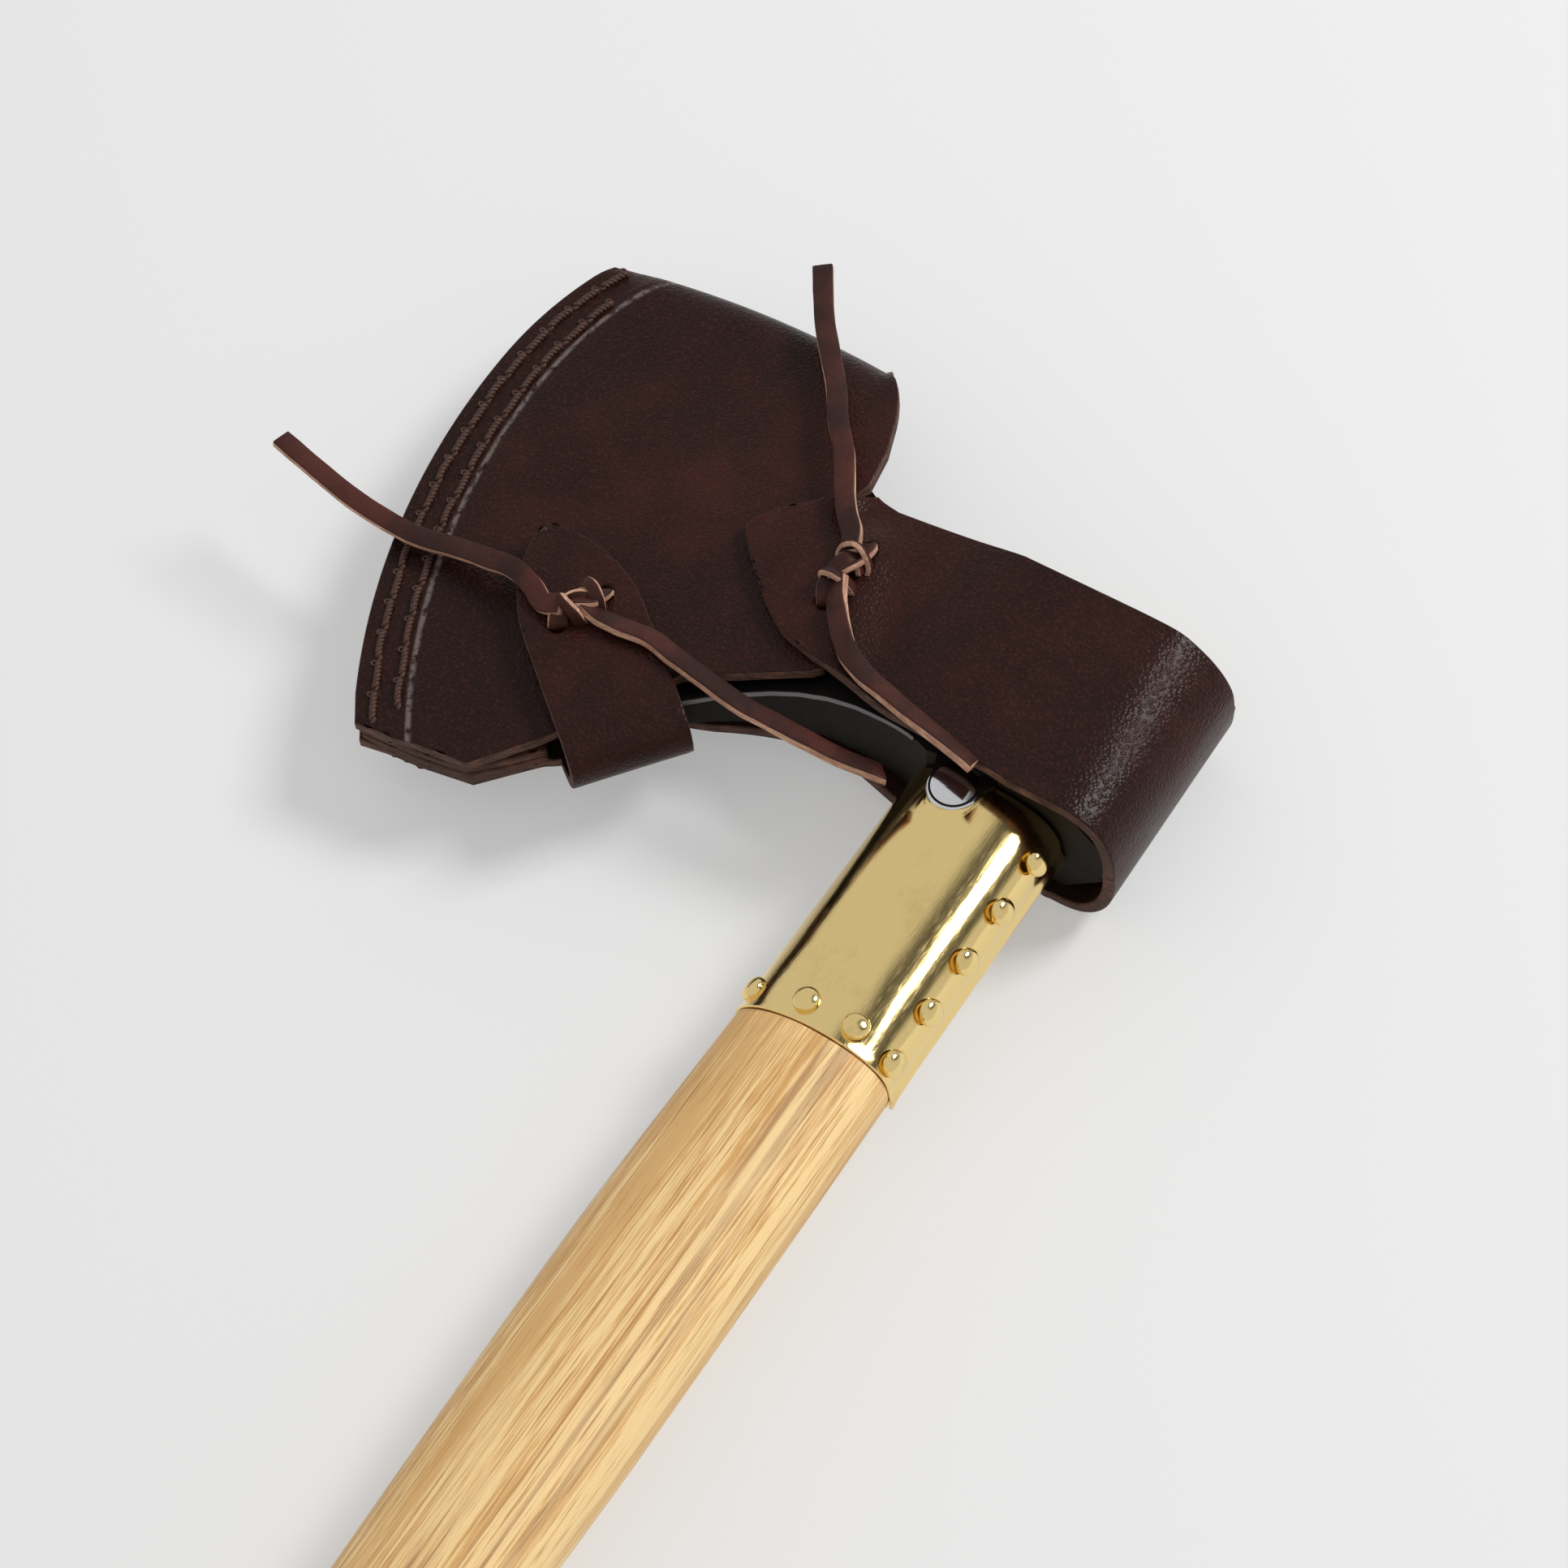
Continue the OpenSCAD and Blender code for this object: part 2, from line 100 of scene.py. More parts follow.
# Loose thong ends: the CAD routes, x and y, with the height from the blade's middle
THONG_W = 4.3
THONG_T = 1.9
ROUTES = {
    "poll_tail_upper": [
        (11.2, 51.2, 17.8), (14, 54, 17.6), (19, 58, 17), (28, 64, 16), (35, 70, 15.2),
        (42, 75, 14.4), (49, 81, 13.6), (56, 87, 13), (63, 92, 12.6), (69, 96, 12.4)],
    "poll_tail_lower": [
        (-4, 45, 18), (-8, 42, 18), (-13, 37, 17.8), (-16, 31, 17.6),
        (-18, 24, 17.8), (-20, 16, 18), (-22, 8, 18.6), (-24, 1, 19)],
    "beard_tail_outer": [
        (-32, 97, 13.4), (-30, 101, 13.4), (-28, 107, 13), (-28, 114, 11.6), (-28, 122, 9.6),
        (-29, 130, 8.4), (-29, 138, 8), (-28, 149, 8.2), (-26, 160, 8.8), (-24, 170, 9.4)],
    "beard_tail_inner": [
        (-29, 86, 13.4), (-29, 81, 13.4), (-28, 74, 13), (-29, 67, 12.4), (-30, 59, 11.8),
        (-31, 51, 11.2), (-31, 44, 10.8), (-31, 36, 10.5), (-31, 28, 10.4), (-30, 18, 10.4)],
}

# Sleeve and handle: [x, towards the poll, towards the edge, half thickness]
SHEET = 0.8
SLEEVE_TOP = SLEEVE_HIGH[0]
SLEEVE_END = SLEEVE_LOW[0]
SLEEVE_ROWS = [(SLEEVE_TOP, 17.0, 16.6, 10.6), (SLEEVE_END, 17.5, 17.0, 11.2)]
LUG_TIP = (-25.6, 4.6)
LUG_W = 10
LUG_Z = 11.0
HANDLE_END = HANDLE_LOW[0]
HANDLE_TOP = HANDLE_HIGH[0]
HANG_X = -332.0
HANG_Y = -3.0
HANG_R = 4.0
HANG_FLAT = 12.2

# ---------------------------------------------------------------- camera and lights

CAM_AT = Vector((-0.37071, -0.23474, 0.69050))
CAM_TARGET = Vector((-0.0360, 0.03797, 0.0170))
CAM_ROLL = math.radians(-6.99)
CAM_LENS = 93.2


def camera_axes():
    back = (CAM_AT - CAM_TARGET).normalized()
    level = Vector((0, 0, 1)).cross(back).normalized()
    up = back.cross(level)
    right = level * math.cos(CAM_ROLL) + up * math.sin(CAM_ROLL)
    return right, back.cross(right), back


def make_camera():
    data = bpy.data.cameras.new("camera")
    data.sensor_width = 36
    data.lens = CAM_LENS
    data.clip_start = 0.01
    data.clip_end = 20
    camera = bpy.data.objects.new("camera", data)
    bpy.context.collection.objects.link(camera)
    right, up, back = camera_axes()
    rows = [(right[i], up[i], back[i], CAM_AT[i]) for i in range(3)]
    camera.matrix_world = Matrix(rows + [(0, 0, 0, 1)])
    bpy.context.scene.camera = camera


def from_target(offset):
    """An offset along the floor to the camera's right, along the floor up the picture, and upwards."""
    right, up, _ = camera_axes()
    flat_right = Vector((right.x, right.y, 0)).normalized()
    flat_up = Vector((up.x, up.y, 0)).normalized()
    return flat_right * offset[0] + flat_up * offset[1] + Vector((0, 0, offset[2]))


def softbox(name, offset, size, watts):
    """White square area light that faces the camera's target."""
    data = bpy.data.lights.new(name, "AREA")
    data.shape = "RECTANGLE"
    data.size = size
    data.size_y = size
    data.energy = watts
    light = bpy.data.objects.new(name, data)
    bpy.context.collection.objects.link(light)
    place = CAM_TARGET + from_target(offset)
    light.location = place
    light.rotation_mode = "QUATERNION"
    light.rotation_quaternion = (place - CAM_TARGET).to_track_quat("Z", "Y")


KEY_OFFSET = (1.45, 0.50, 1.55)
KEY_SIZE = 0.70
KEY_WATTS = 36
SKY = 0.66
SKY_NEAR_KEY = 0.10
# Cosines of the angle from the softbox between which the sky darkens
SKY_FADE = (0.82, 0.93)
FLOOR_GLOW = 0.33
FLOOR_HALF = 3.0
FLOOR_Z = -0.0002


RANGE_INPUTS = ("From Min", "From Max", "To Min", "To Max")


def make_lights():
    """A bright softbox from the right in a pale studio that is darker round the softbox."""
    softbox("key_light", KEY_OFFSET, KEY_SIZE, KEY_WATTS)
    world = bpy.data.worlds.new("studio")
    world.use_nodes = True
    tree = world.node_tree
    background = tree.nodes["Background"]
    place = tree.nodes.new("ShaderNodeTexCoord")
    near = tree.nodes.new("ShaderNodeVectorMath")
    near.operation = "DOT_PRODUCT"
    near.inputs[1].default_value = from_target(KEY_OFFSET).normalized()
    fade = tree.nodes.new("ShaderNodeMapRange")
    fade.interpolation_type = "SMOOTHSTEP"
    tree.links.new(place.outputs["Generated"], near.inputs[0])
    tree.links.new(near.outputs["Value"], fade.inputs["Value"])
    for key, number in zip(RANGE_INPUTS, (*SKY_FADE, SKY, SKY_NEAR_KEY)):
        fade.inputs[key].default_value = number
    tree.links.new(fade.outputs["Result"], background.inputs["Strength"])
    background.inputs["Color"].default_value = (1.0, 1.0, 1.0, 1)
    bpy.context.scene.world = world
    bpy.context.scene.view_settings.view_transform = "Standard"


def make_floor(material):
    half = FLOOR_HALF
    corners = [(-half, -half), (half, -half), (half, half), (-half, half)]
    mesh = bpy.data.meshes.new("floor")
    mesh.from_pydata([(x, y, FLOOR_Z) for x, y in corners], [], [(0, 1, 2, 3)])
    mesh.materials.append(material)
    floor = bpy.data.objects.new("floor", mesh)
    bpy.context.collection.objects.link(floor)


# ---------------------------------------------------------------- material helpers

class Nodes:
    """Short names for the few node kinds the materials are made of."""

    def __init__(self, name):
        self.material = bpy.data.materials.new(name)
        self.material.use_nodes = True
        self.tree = self.material.node_tree
        self.shader = self.tree.nodes["Principled BSDF"]
        self.place = self.tree.nodes.new("ShaderNodeTexCoord").outputs["Object"]

    def link(self, source, target):
        if isinstance(source, (int, float)):
            target.default_value = source
        elif isinstance(source, tuple):
            target.default_value = source if len(source) != 3 or target.type == "VECTOR" else (*source, 1)
        else:
            self.tree.links.new(source, target)

    def stretch(self, scale):
        node = self.tree.nodes.new("ShaderNodeMapping")
        self.link(self.place, node.inputs["Vector"])
        node.inputs["Scale"].default_value = scale
        return node.outputs["Vector"]

    def noise(self, scale, detail=3.0, rough=0.55, place=None):
        node = self.tree.nodes.new("ShaderNodeTexNoise")
        self.link(place or self.place, node.inputs["Vector"])
        node.inputs["Scale"].default_value = scale
        node.inputs["Detail"].default_value = detail
        node.inputs["Roughness"].default_value = rough
        return node.outputs["Fac"]

    def cells(self, scale):
        node = self.tree.nodes.new("ShaderNodeTexVoronoi")
        node.feature = "F1"
        self.link(self.place, node.inputs["Vector"])
        node.inputs["Scale"].default_value = scale
        return node.outputs["Distance"]

    def ramp(self, value, low, high, a=0.0, b=1.0):
        node = self.tree.nodes.new("ShaderNodeMapRange")
        node.interpolation_type = "SMOOTHSTEP"
        self.link(value, node.inputs["Value"])
        for key, number in zip(RANGE_INPUTS, (low, high, a, b)):
            node.inputs[key].default_value = number
        return node.outputs["Result"]

    def math(self, kind, a, b=0.0):
        node = self.tree.nodes.new("ShaderNodeMath")
        node.operation = kind
        for socket, value in zip(node.inputs, (a, b)):
            self.link(value, socket)
        return node.outputs[0]

    def mix(self, share, a, b):
        node = self.tree.nodes.new("ShaderNodeMix")
        node.data_type = "RGBA"
        self.link(share, node.inputs[0])
        self.link(a, node.inputs[6])
        self.link(b, node.inputs[7])
        return node.outputs[2]

    def bump(self, height, distance, strength=1.0, below=None):
        node = self.tree.nodes.new("ShaderNodeBump")
        node.inputs["Strength"].default_value = strength
        node.inputs["Distance"].default_value = distance
        self.link(height, node.inputs["Height"])
        if below is not None:
            self.link(below, node.inputs["Normal"])
        return node.outputs["Normal"]

    def plane(self):
        """x and y of the shaded point, in metres."""
        node = self.tree.nodes.new("ShaderNodeSeparateXYZ")
        self.link(self.place, node.inputs[0])
        return node.outputs[0], node.outputs[1]

    def far_from(self, x, y, centre):
        """Distance in the plane from a centre given in mm."""
        across = self.math("POWER", self.math("SUBTRACT", x, centre[0] * MM), 2.0)
        along = self.math("POWER", self.math("SUBTRACT", y, centre[1] * MM), 2.0)
        return self.math("SQRT", self.math("ADD", across, along))

    def set(self, **values):
        names = {"colour": "Base Color", "rough": "Roughness", "metal": "Metallic",
                 "normal": "Normal", "specular": "Specular IOR Level"}
        for key, value in values.items():
            self.link(value, self.shader.inputs[names[key]])
        return self.material


# ---------------------------------------------------------------- materials

LEATHER_DARK = (0.0155, 0.0056, 0.0040)
LEATHER_RED = (0.044, 0.0100, 0.0068)
# The pale grey just below is a painted highlight along the pressed groove.
GROOVE_HIGHLIGHT = (0.17, 0.135, 0.125)
GROUND_STEEL = (0.56, 0.56, 0.57)


def tint(colour, share):
    return tuple(share * c for c in colour)


def leather_face(name, pressed=False):
    """Oiled chocolate leather: mahogany clouds, fine speckle and a pebble grain."""
    n = Nodes(name)
    clouds = n.ramp(n.noise(15, 4, 0.62), 0.42, 0.70)
    shade = n.ramp(n.noise(27, 3, 0.5), 0.35, 0.65)
    speckle = n.ramp(n.noise(1500, 2, 0.6), 0.50, 0.68)
    colour = n.mix(clouds, LEATHER_DARK, LEATHER_RED)
    colour = n.mix(n.math("MULTIPLY", shade, 0.45), colour, tint(LEATHER_DARK, 0.55))
    colour = n.mix(n.math("MULTIPLY", speckle, 0.22), colour, tint(LEATHER_RED, 2.6))
    pebbles = n.ramp(n.cells(1250), 0.05, 0.75)
    wrinkles = n.noise(420, 4, 0.65)
    height = n.math("ADD", n.math("MULTIPLY", pebbles, -0.8), n.math("MULTIPLY", wrinkles, 0.7))
    if pressed:
        # The pressed groove is a bump, with a broken pale grey line along it: a painted highlight.
        line = pressed_line(n)
        groove_highlight = n.math("MULTIPLY", line, n.ramp(n.noise(420, 4, 0.7), 0.36, 0.56))
        colour = n.mix(n.math("MULTIPLY", groove_highlight, 0.8), colour, GROOVE_HIGHLIGHT)
        height = n.math("SUBTRACT", height, n.math("MULTIPLY", line, 1.5))
    rough = n.ramp(n.noise(60, 3), 0.3, 0.7, 0.28, 0.37)
    return n.set(colour=colour, rough=rough, normal=n.bump(height, 0.00015, 0.7), specular=0.13)


def pressed_line(n):
    """1 on the line pressed into the panels inside the inner stitches, 0 elsewhere."""
    x, y = n.plane()
    heel, toe = (n.math("ABSOLUTE", n.math("SUBTRACT", n.far_from(x, y, centre), (radius - GROOVE_IN) * MM))
                 for centre, radius in ((EDGE_C, EDGE_R), (TOE_C, TOE_R)))
    at_toe = n.math("GREATER_THAN", x, EDGE_C[0] * MM)
    heel_part = n.math("MULTIPLY", heel, n.math("SUBTRACT", 1.0, at_toe))
    off = n.math("ADD", heel_part, n.math("MULTIPLY", toe, at_toe))
    return n.ramp(off, 0.0002, 0.0009, 1.0, 0.0)


def leather_flesh():
    """Rough inner side of the leather, coloured as dark as the face: painted shade for the hollows it
    lines.
    """
    n = Nodes("leather_flesh")
    fuzz = n.noise(900, 5, 0.75)
    colour = n.mix(n.ramp(n.noise(60, 4, 0.7), 0.3, 0.7), (0.012, 0.005, 0.004), (0.032, 0.013, 0.009))
    return n.set(colour=colour, rough=0.82, normal=n.bump(fuzz, 0.0004, 0.8), specular=0.08)


def leather_edge(name, dark, pale):
    """Cut edge: pressed fibres in layers along the sheet."""
    n = Nodes(name)
    fibres = n.noise(420, 5, 0.75, place=n.stretch((0.6, 0.6, 3.2)))
    patches = n.ramp(n.noise(80, 3, 0.6), 0.35, 0.7)
    worn = n.math("ADD", n.math("MULTIPLY", patches, 0.6), 0.4)
    share = n.math("MULTIPLY", n.ramp(fibres, 0.38, 0.68), worn)
    return n.set(colour=n.mix(share, dark, pale), rough=0.68, normal=n.bump(fibres, 0.0005, 0.8),
                 specular=0.3)


def thong_face():
    n = Nodes("thong_face")
    clouds = n.ramp(n.noise(55, 4, 0.6), 0.36, 0.68)
    colour = n.mix(clouds, (0.028, 0.010, 0.008), (0.076, 0.020, 0.014))
    creases = n.noise(520, 4, 0.7)
    return n.set(colour=colour, rough=n.ramp(creases, 0.3, 0.7, 0.36, 0.55),
                 normal=n.bump(creases, 0.0004, 0.8), specular=0.16)


def thread_material():
    n = Nodes("waxed_thread")
    fibres = n.noise(2600, 3, 0.7)
    colour = n.mix(n.ramp(fibres, 0.35, 0.7), (0.024, 0.010, 0.007), (0.105, 0.040, 0.023))
    return n.set(colour=colour, rough=0.55, normal=n.bump(fibres, 0.00012, 0.7), specular=0.4)


def brass(name, roughness, wear):
    """Hand-polished sheet: soft waves, hairline scratches and a little tarnish."""
    n = Nodes(name)
    waves = n.noise(38, 2, 0.4)
    lines = n.noise(300, 3, 0.6, place=n.stretch((1.0, 9.0, 9.0)))
    tarnish = n.ramp(n.noise(75, 5, 0.7), 0.50, 0.78)
    colour = n.mix(n.math("MULTIPLY", tarnish, wear), (0.90, 0.685, 0.295), (0.52, 0.35, 0.125))
    rough = n.math("ADD", roughness, n.math("MULTIPLY", n.ramp(lines, 0.4, 0.8), 0.09))
    normal = n.bump(waves, 0.0006, 0.35)
    normal = n.bump(lines, 0.00004, 0.35, normal)
    return n.set(colour=colour, rough=rough, metal=1.0, normal=normal)


def ash_wood(name, pale, brown, line):
    """Ash along the grain: ochre bands with feathered sides, fine fibres and thin dark streaks."""
    n = Nodes(name)
    fibres = n.noise(2300, 3, 0.75, place=n.stretch((0.022, 1.0, 1.0)))
    feather = n.math("MULTIPLY", n.math("SUBTRACT", fibres, 0.5), 0.75)
    slow = n.noise(120, 3, 0.55, place=n.stretch((0.024, 1.0, 1.0)))
    quick = n.noise(360, 3, 0.6, place=n.stretch((0.016, 1.0, 1.0)))
    wide = n.ramp(n.math("ADD", slow, feather), 0.46, 0.62)
    narrow = n.ramp(n.math("ADD", quick, feather), 0.49, 0.62)
    veins = n.noise(120, 2, 0.5, place=n.stretch((0.014, 1.0, 1.0)))
    seam = n.math("ABSOLUTE", n.math("SUBTRACT", veins, 0.53))
    broken = n.ramp(n.noise(40, 3, 0.6, place=n.stretch((0.3, 1.0, 1.0))), 0.40, 0.62)
    streak = n.math("MULTIPLY", n.ramp(seam, 0.0, 0.030, 1.0, 0.0), broken)
    pores = n.ramp(n.noise(2300, 2, 0.6, place=n.stretch((0.022, 1.0, 1.0))), 0.58, 0.72)
    colour = n.mix(n.math("MULTIPLY", wide, 0.66), pale, brown)
    colour = n.mix(n.math("MULTIPLY", narrow, 0.52), colour, brown)
    colour = n.mix(n.math("MULTIPLY", streak, 0.62), colour, line)
    colour = n.mix(n.math("MULTIPLY", pores, 0.38), colour, line)
    height = n.math("ADD", n.math("MULTIPLY", pores, -1.0), n.math("MULTIPLY", fibres, 0.5))
    return n.set(colour=colour, rough=n.ramp(fibres, 0.3, 0.7, 0.42, 0.56),
                 normal=n.bump(height, 0.00008, 0.8), specular=0.22)


def steel(name, roughness, shade, ground=False):
    """Steel with fine lines and stains; the ground kind is bright along the cutting edge."""
    n = Nodes(name)
    lines = n.noise(500, 3, 0.6, place=n.stretch((1.0, 0.06, 1.0)))
    stains = n.ramp(n.noise(45, 5, 0.7), 0.45, 0.75)
    colour = n.mix(n.math("MULTIPLY", stains, 0.5), shade, tint(shade, 0.62))
    rough = n.math("ADD", roughness, n.math("MULTIPLY", lines, 0.12))
    if ground:
        edge = n.ramp(n.far_from(*n.plane(), EDGE_C), (EDGE_R - 31) * MM, (EDGE_R - 30) * MM)
        colour = n.mix(edge, colour, GROUND_STEEL)
        rough = n.math("SUBTRACT", rough, n.math("MULTIPLY", edge, 0.27))
    return n.set(colour=colour, rough=rough, metal=1.0, normal=n.bump(lines, 0.00004, 0.5))


def floor_material():
    n = Nodes("floor_paper")
    tone = n.ramp(n.noise(2.0, 2), 0.3, 0.7)
    n.shader.inputs["Emission Color"].default_value = (1.0, 1.0, 1.0, 1.0)
    n.shader.inputs["Emission Strength"].default_value = FLOOR_GLOW
    return n.set(colour=n.mix(tone, (0.450, 0.450, 0.450), (0.453, 0.453, 0.453)), rough=0.9,
                 specular=0.1)


# ---------------------------------------------------------------- plane geometry

def arc(centre, radius, a0, a1, count):
    angles = np.radians(np.linspace(a0, a1, count))
    return [(centre[0] + radius * math.cos(a), centre[1] + radius * math.sin(a)) for a in angles]


def bezier(p0, p1, p2, p3, count):
    p0, p1, p2, p3 = (np.array(p, float) for p in (p0, p1, p2, p3))
    made = []
    for t in np.linspace(0, 1, count):
        u = 1 - t
        made.append(tuple(u**3 * p0 + 3 * u * u * t * p1 + 3 * u * t * t * p2 + t**3 * p3))
    return made


def rim(deep):
    """The sheath's rim drawn inwards, from the toe to the heel."""
    return arc(TOE_C, TOE_R - deep, TOE_A, 90, 24) + arc(EDGE_C, EDGE_R - deep, 90, HEEL_A, 56)[1:]


def subdivide(line, step, closed=True):
    """Every corner stays, and long stretches get points a step apart."""
    line = [np.array(p, float) for p in line]
    ends = line[1:] + ([line[0]] if closed else [])
    made = []
    for a, b in zip(line, ends):
        count = max(1, int(round(np.linalg.norm(b - a) / step)))
        made += [a + (b - a) * k / count for k in range(count)]
    return np.array(made if closed else made + [line[-1]])


def inside(points, loop):
    """Which points are inside a closed loop."""
    x, y = points[:, 0][:, None], points[:, 1][:, None]
    x0, y0 = loop[:, 0][None], loop[:, 1][None]
    x1, y1 = np.roll(loop[:, 0], -1)[None], np.roll(loop[:, 1], -1)[None]
    crosses = (y0 > y) != (y1 > y)
    slope = np.where(y1 == y0, 1.0, y1 - y0)
    return (np.sum(crosses & (x < (x1 - x0) * (y - y0) / slope + x0), axis=1) % 2) == 1


def within(points, loops):
    """Which points are inside the first loop and outside the others, which are holes."""
    keep = inside(points, loops[0])
    for hole in loops[1:]:
        keep &= ~inside(points, hole)
    return keep


def nearest(points, targets):
    """Distance from each point to the closest of the targets."""
    best = np.full(len(points), 1e9)
    for k in range(0, len(targets), 200):
        block = targets[k:k + 200]
        gaps = np.linalg.norm(points[:, None] - block[None], axis=2).min(axis=1)
        best = np.minimum(best, gaps)
    return best


def fill(outline, step, holes=(), extra=None, coarse=1.7):
    """Triangles inside an outline: (points, triangles), with fine points along its edges."""
    loops = [subdivide(outline, step)] + [subdivide(h, step * 0.5) for h in holes]
    border = np.vstack(loops)
    low, high = loops[0].min(axis=0), loops[0].max(axis=0)
    pitch = step * coarse
    xs = np.arange(low[0], high[0], pitch)
    ys = np.arange(low[1], high[1], pitch * 0.87)
    grid = np.array([(x + (pitch / 2 if j % 2 else 0), y) for j, y in enumerate(ys) for x in xs])
    if extra is not None:
        grid = grid[nearest(grid, extra) > step * 0.6]
        grid = np.vstack([extra, grid])
    grid = grid[within(grid, loops)]
    grid = grid[nearest(grid, border) > step * 0.55]
    edges, first = [], 0
    for loop in loops:
        edges += [(first + i, first + (i + 1) % len(loop)) for i in range(len(loop))]
        first += len(loop)
    every = np.vstack([border, grid])
    made = delaunay_2d_cdt([Vector(p) for p in every], edges, [], 0, 1e-6, False)
    points = np.array([tuple(p) for p in made[0]])
    triangles = np.array(made[2])
    triangles = triangles[within(points[triangles].mean(axis=1), loops)]
    a, b, c = (points[triangles[:, k]] for k in range(3))
    turn = (b[:, 0] - a[:, 0]) * (c[:, 1] - a[:, 1]) - (b[:, 1] - a[:, 1]) * (c[:, 0] - a[:, 0])
    triangles[turn < 0] = triangles[turn < 0][:, ::-1]
    return points, triangles


def round_hole(x, y):
    """Outline of a thong hole."""
    return [(x + HOLE_R * math.cos(a), y + HOLE_R * math.sin(a))
            for a in np.linspace(0, 2 * math.pi, 24, endpoint=False)]


def full_turn(count):
    """Angles of one turn, without its end."""
    return [2 * math.pi * k / count for k in range(count)]


def smoothstep(value, low, high):
    t = np.clip((value - low) / (high - low), 0, 1)
    return t * t * (3 - 2 * t)


# ---------------------------------------------------------------- mesh makers

def mesh_object(name, points, faces, materials, indices=None):
    mesh = bpy.data.meshes.new(name)
    mesh.from_pydata([(x * MM, y * MM, z * MM) for x, y, z in points], [], faces)
    for material in materials:
        mesh.materials.append(material)
    mesh.polygons.foreach_set("use_smooth", [True] * len(mesh.polygons))
    if indices is not None:
        mesh.polygons.foreach_set("material_index", indices)
    mesh.update()
    made = bpy.data.objects.new(name, mesh)
    bpy.context.collection.objects.link(made)
    return made


def tube_faces(rings, steps, order=(0, 1, 2, 3)):
    """Quads between neighbouring rings of points. The order picks a quad's corners: this point, the
    next in its ring, the one above that, and the one above this."""
    faces = []
    for i in range(rings - 1):
        for k in range(steps):
            m = (k + 1) % steps
            quad = (i * steps + k, i * steps + m, (i + 1) * steps + m, (i + 1) * steps + k)
            faces.append(tuple(quad[c] for c in order))
    return faces


def tube_ends(rings, steps):
    """Faces over the first and the last ring."""
    return [tuple(range(steps))[::-1], tuple((rings - 1) * steps + k for k in range(steps))]


def turned(faces):
    """The same faces, seen from the other side."""
    return [face[::-1] for face in faces]


def vertex_normals(points, triangles):
    a, b, c = (points[triangles[:, k]] for k in range(3))
    face = np.cross(b - a, c - a)
    total = np.zeros_like(points)
    for k in range(3):
        np.add.at(total, triangles[:, k], face)
    return total / np.maximum(np.linalg.norm(total, axis=1), 1e-9)[:, None]


def border_of(triangles):
    """Directed edges that only one triangle has."""
    directed = {}
    for t in triangles:
        for k in range(3):
            directed[(int(t[k]), int(t[(k + 1) % 3]))] = True
    return [(i, j) for i, j in directed if (j, i) not in directed]


# Angles round the quarter circle of a cut edge, from the face to the middle
ROUND_ANGLES = (0.35, 0.8, 1.25, math.pi / 2)


def thick_sheet(name, points, triangles, thick, materials, rounding=ROUNDING, cut=None):
    """A sheet with rounded cut edges round its middle surface. Materials: face, edge, back.
    cut(point) marks border points that meet another piece and stay square."""
    count = len(points)
    normals = vertex_normals(points, triangles)
    border = border_of(triangles)
    after, before = dict(border), {j: i for i, j in border}
    ids = sorted(after)
    rows = {v: k for k, v in enumerate(ids)}
    along = np.array([points[after[v]] - points[before.get(v, v)] for v in ids])
    along /= np.maximum(np.linalg.norm(along, axis=1), 1e-9)[:, None]
    inward = np.cross(normals[ids], along)
    radius = np.array([0.0 if cut is not None and cut(points[v]) else rounding for v in ids])[:, None]
    base, up = points[ids], normals[ids]
    half = thick / 2
    top, bottom = points + normals * half, points - normals * half
    top[ids] = base + inward * radius + up * half
    bottom[ids] = base + inward * radius - up * half
    rings = []
    for side, angles in ((1, ROUND_ANGLES), (-1, ROUND_ANGLES[::-1])):
        for a in angles:
            rings.append(base + inward * radius * (1 - math.sin(a))
                         + side * up * (half - radius + radius * math.cos(a)))
    every = np.vstack([top, bottom] + rings)
    start = [2 * count + k * len(ids) for k in range(len(rings))]
    layers = [lambda v: v] + [(lambda v, s=s: s + rows[v]) for s in start] + [lambda v: count + v]
    faces = [tuple(int(v) for v in t) for t in triangles]
    faces += [tuple(int(v) + count for v in t[::-1]) for t in triangles]
    indices = [0] * len(triangles) + [2] * len(triangles)
    square = {v for v, r in zip(ids, radius[:, 0]) if r == 0.0}
    flat = []
    for k in range(len(layers) - 1):
        for i, j in border:
            if i in square and j in square:
                flat.append(len(faces))
            faces.append((layers[k](i), layers[k + 1](i), layers[k + 1](j), layers[k](j)))
            indices.append(0 if k in (0, 1) else 2 if k == len(layers) - 2 else 1)
    made = mesh_object(name, every, faces, materials, indices)
    creases = {key for face in flat for key in made.data.polygons[face].edge_keys}
    for edge in made.data.edges:
        edge.use_edge_sharp = tuple(edge.key) in creases
    return made


def catmull(points, per):
    """Smooth line through points, with so many steps between neighbours."""
    p = np.array(points, float)
    p = np.vstack([2 * p[0] - p[1], p, 2 * p[-1] - p[-2]])
    made = []
    for i in range(1, len(p) - 2):
        for t in np.linspace(0, 1, per, endpoint=False):
            a, b, c, d = p[i - 1], p[i], p[i + 1], p[i + 2]
            made.append(0.5 * (2 * b + (c - a) * t + (2 * a - 5 * b + 4 * c - d) * t * t
                               + (3 * b - a - 3 * c + d) * t**3))
    made.append(p[-2])
    return np.array(made)


def frames_along(line, up):
    """Directions along a line, and across it, carried from point to point."""
    along = np.gradient(line, axis=0)
    along /= np.linalg.norm(along, axis=1)[:, None]
    ups = []
    now = np.array(up, float)
    for d in along:
        now = now - d * np.dot(now, d)
        now /= np.linalg.norm(now)
        ups.append(now)
    ups = np.array(ups)
    return along, ups, np.cross(along, ups)


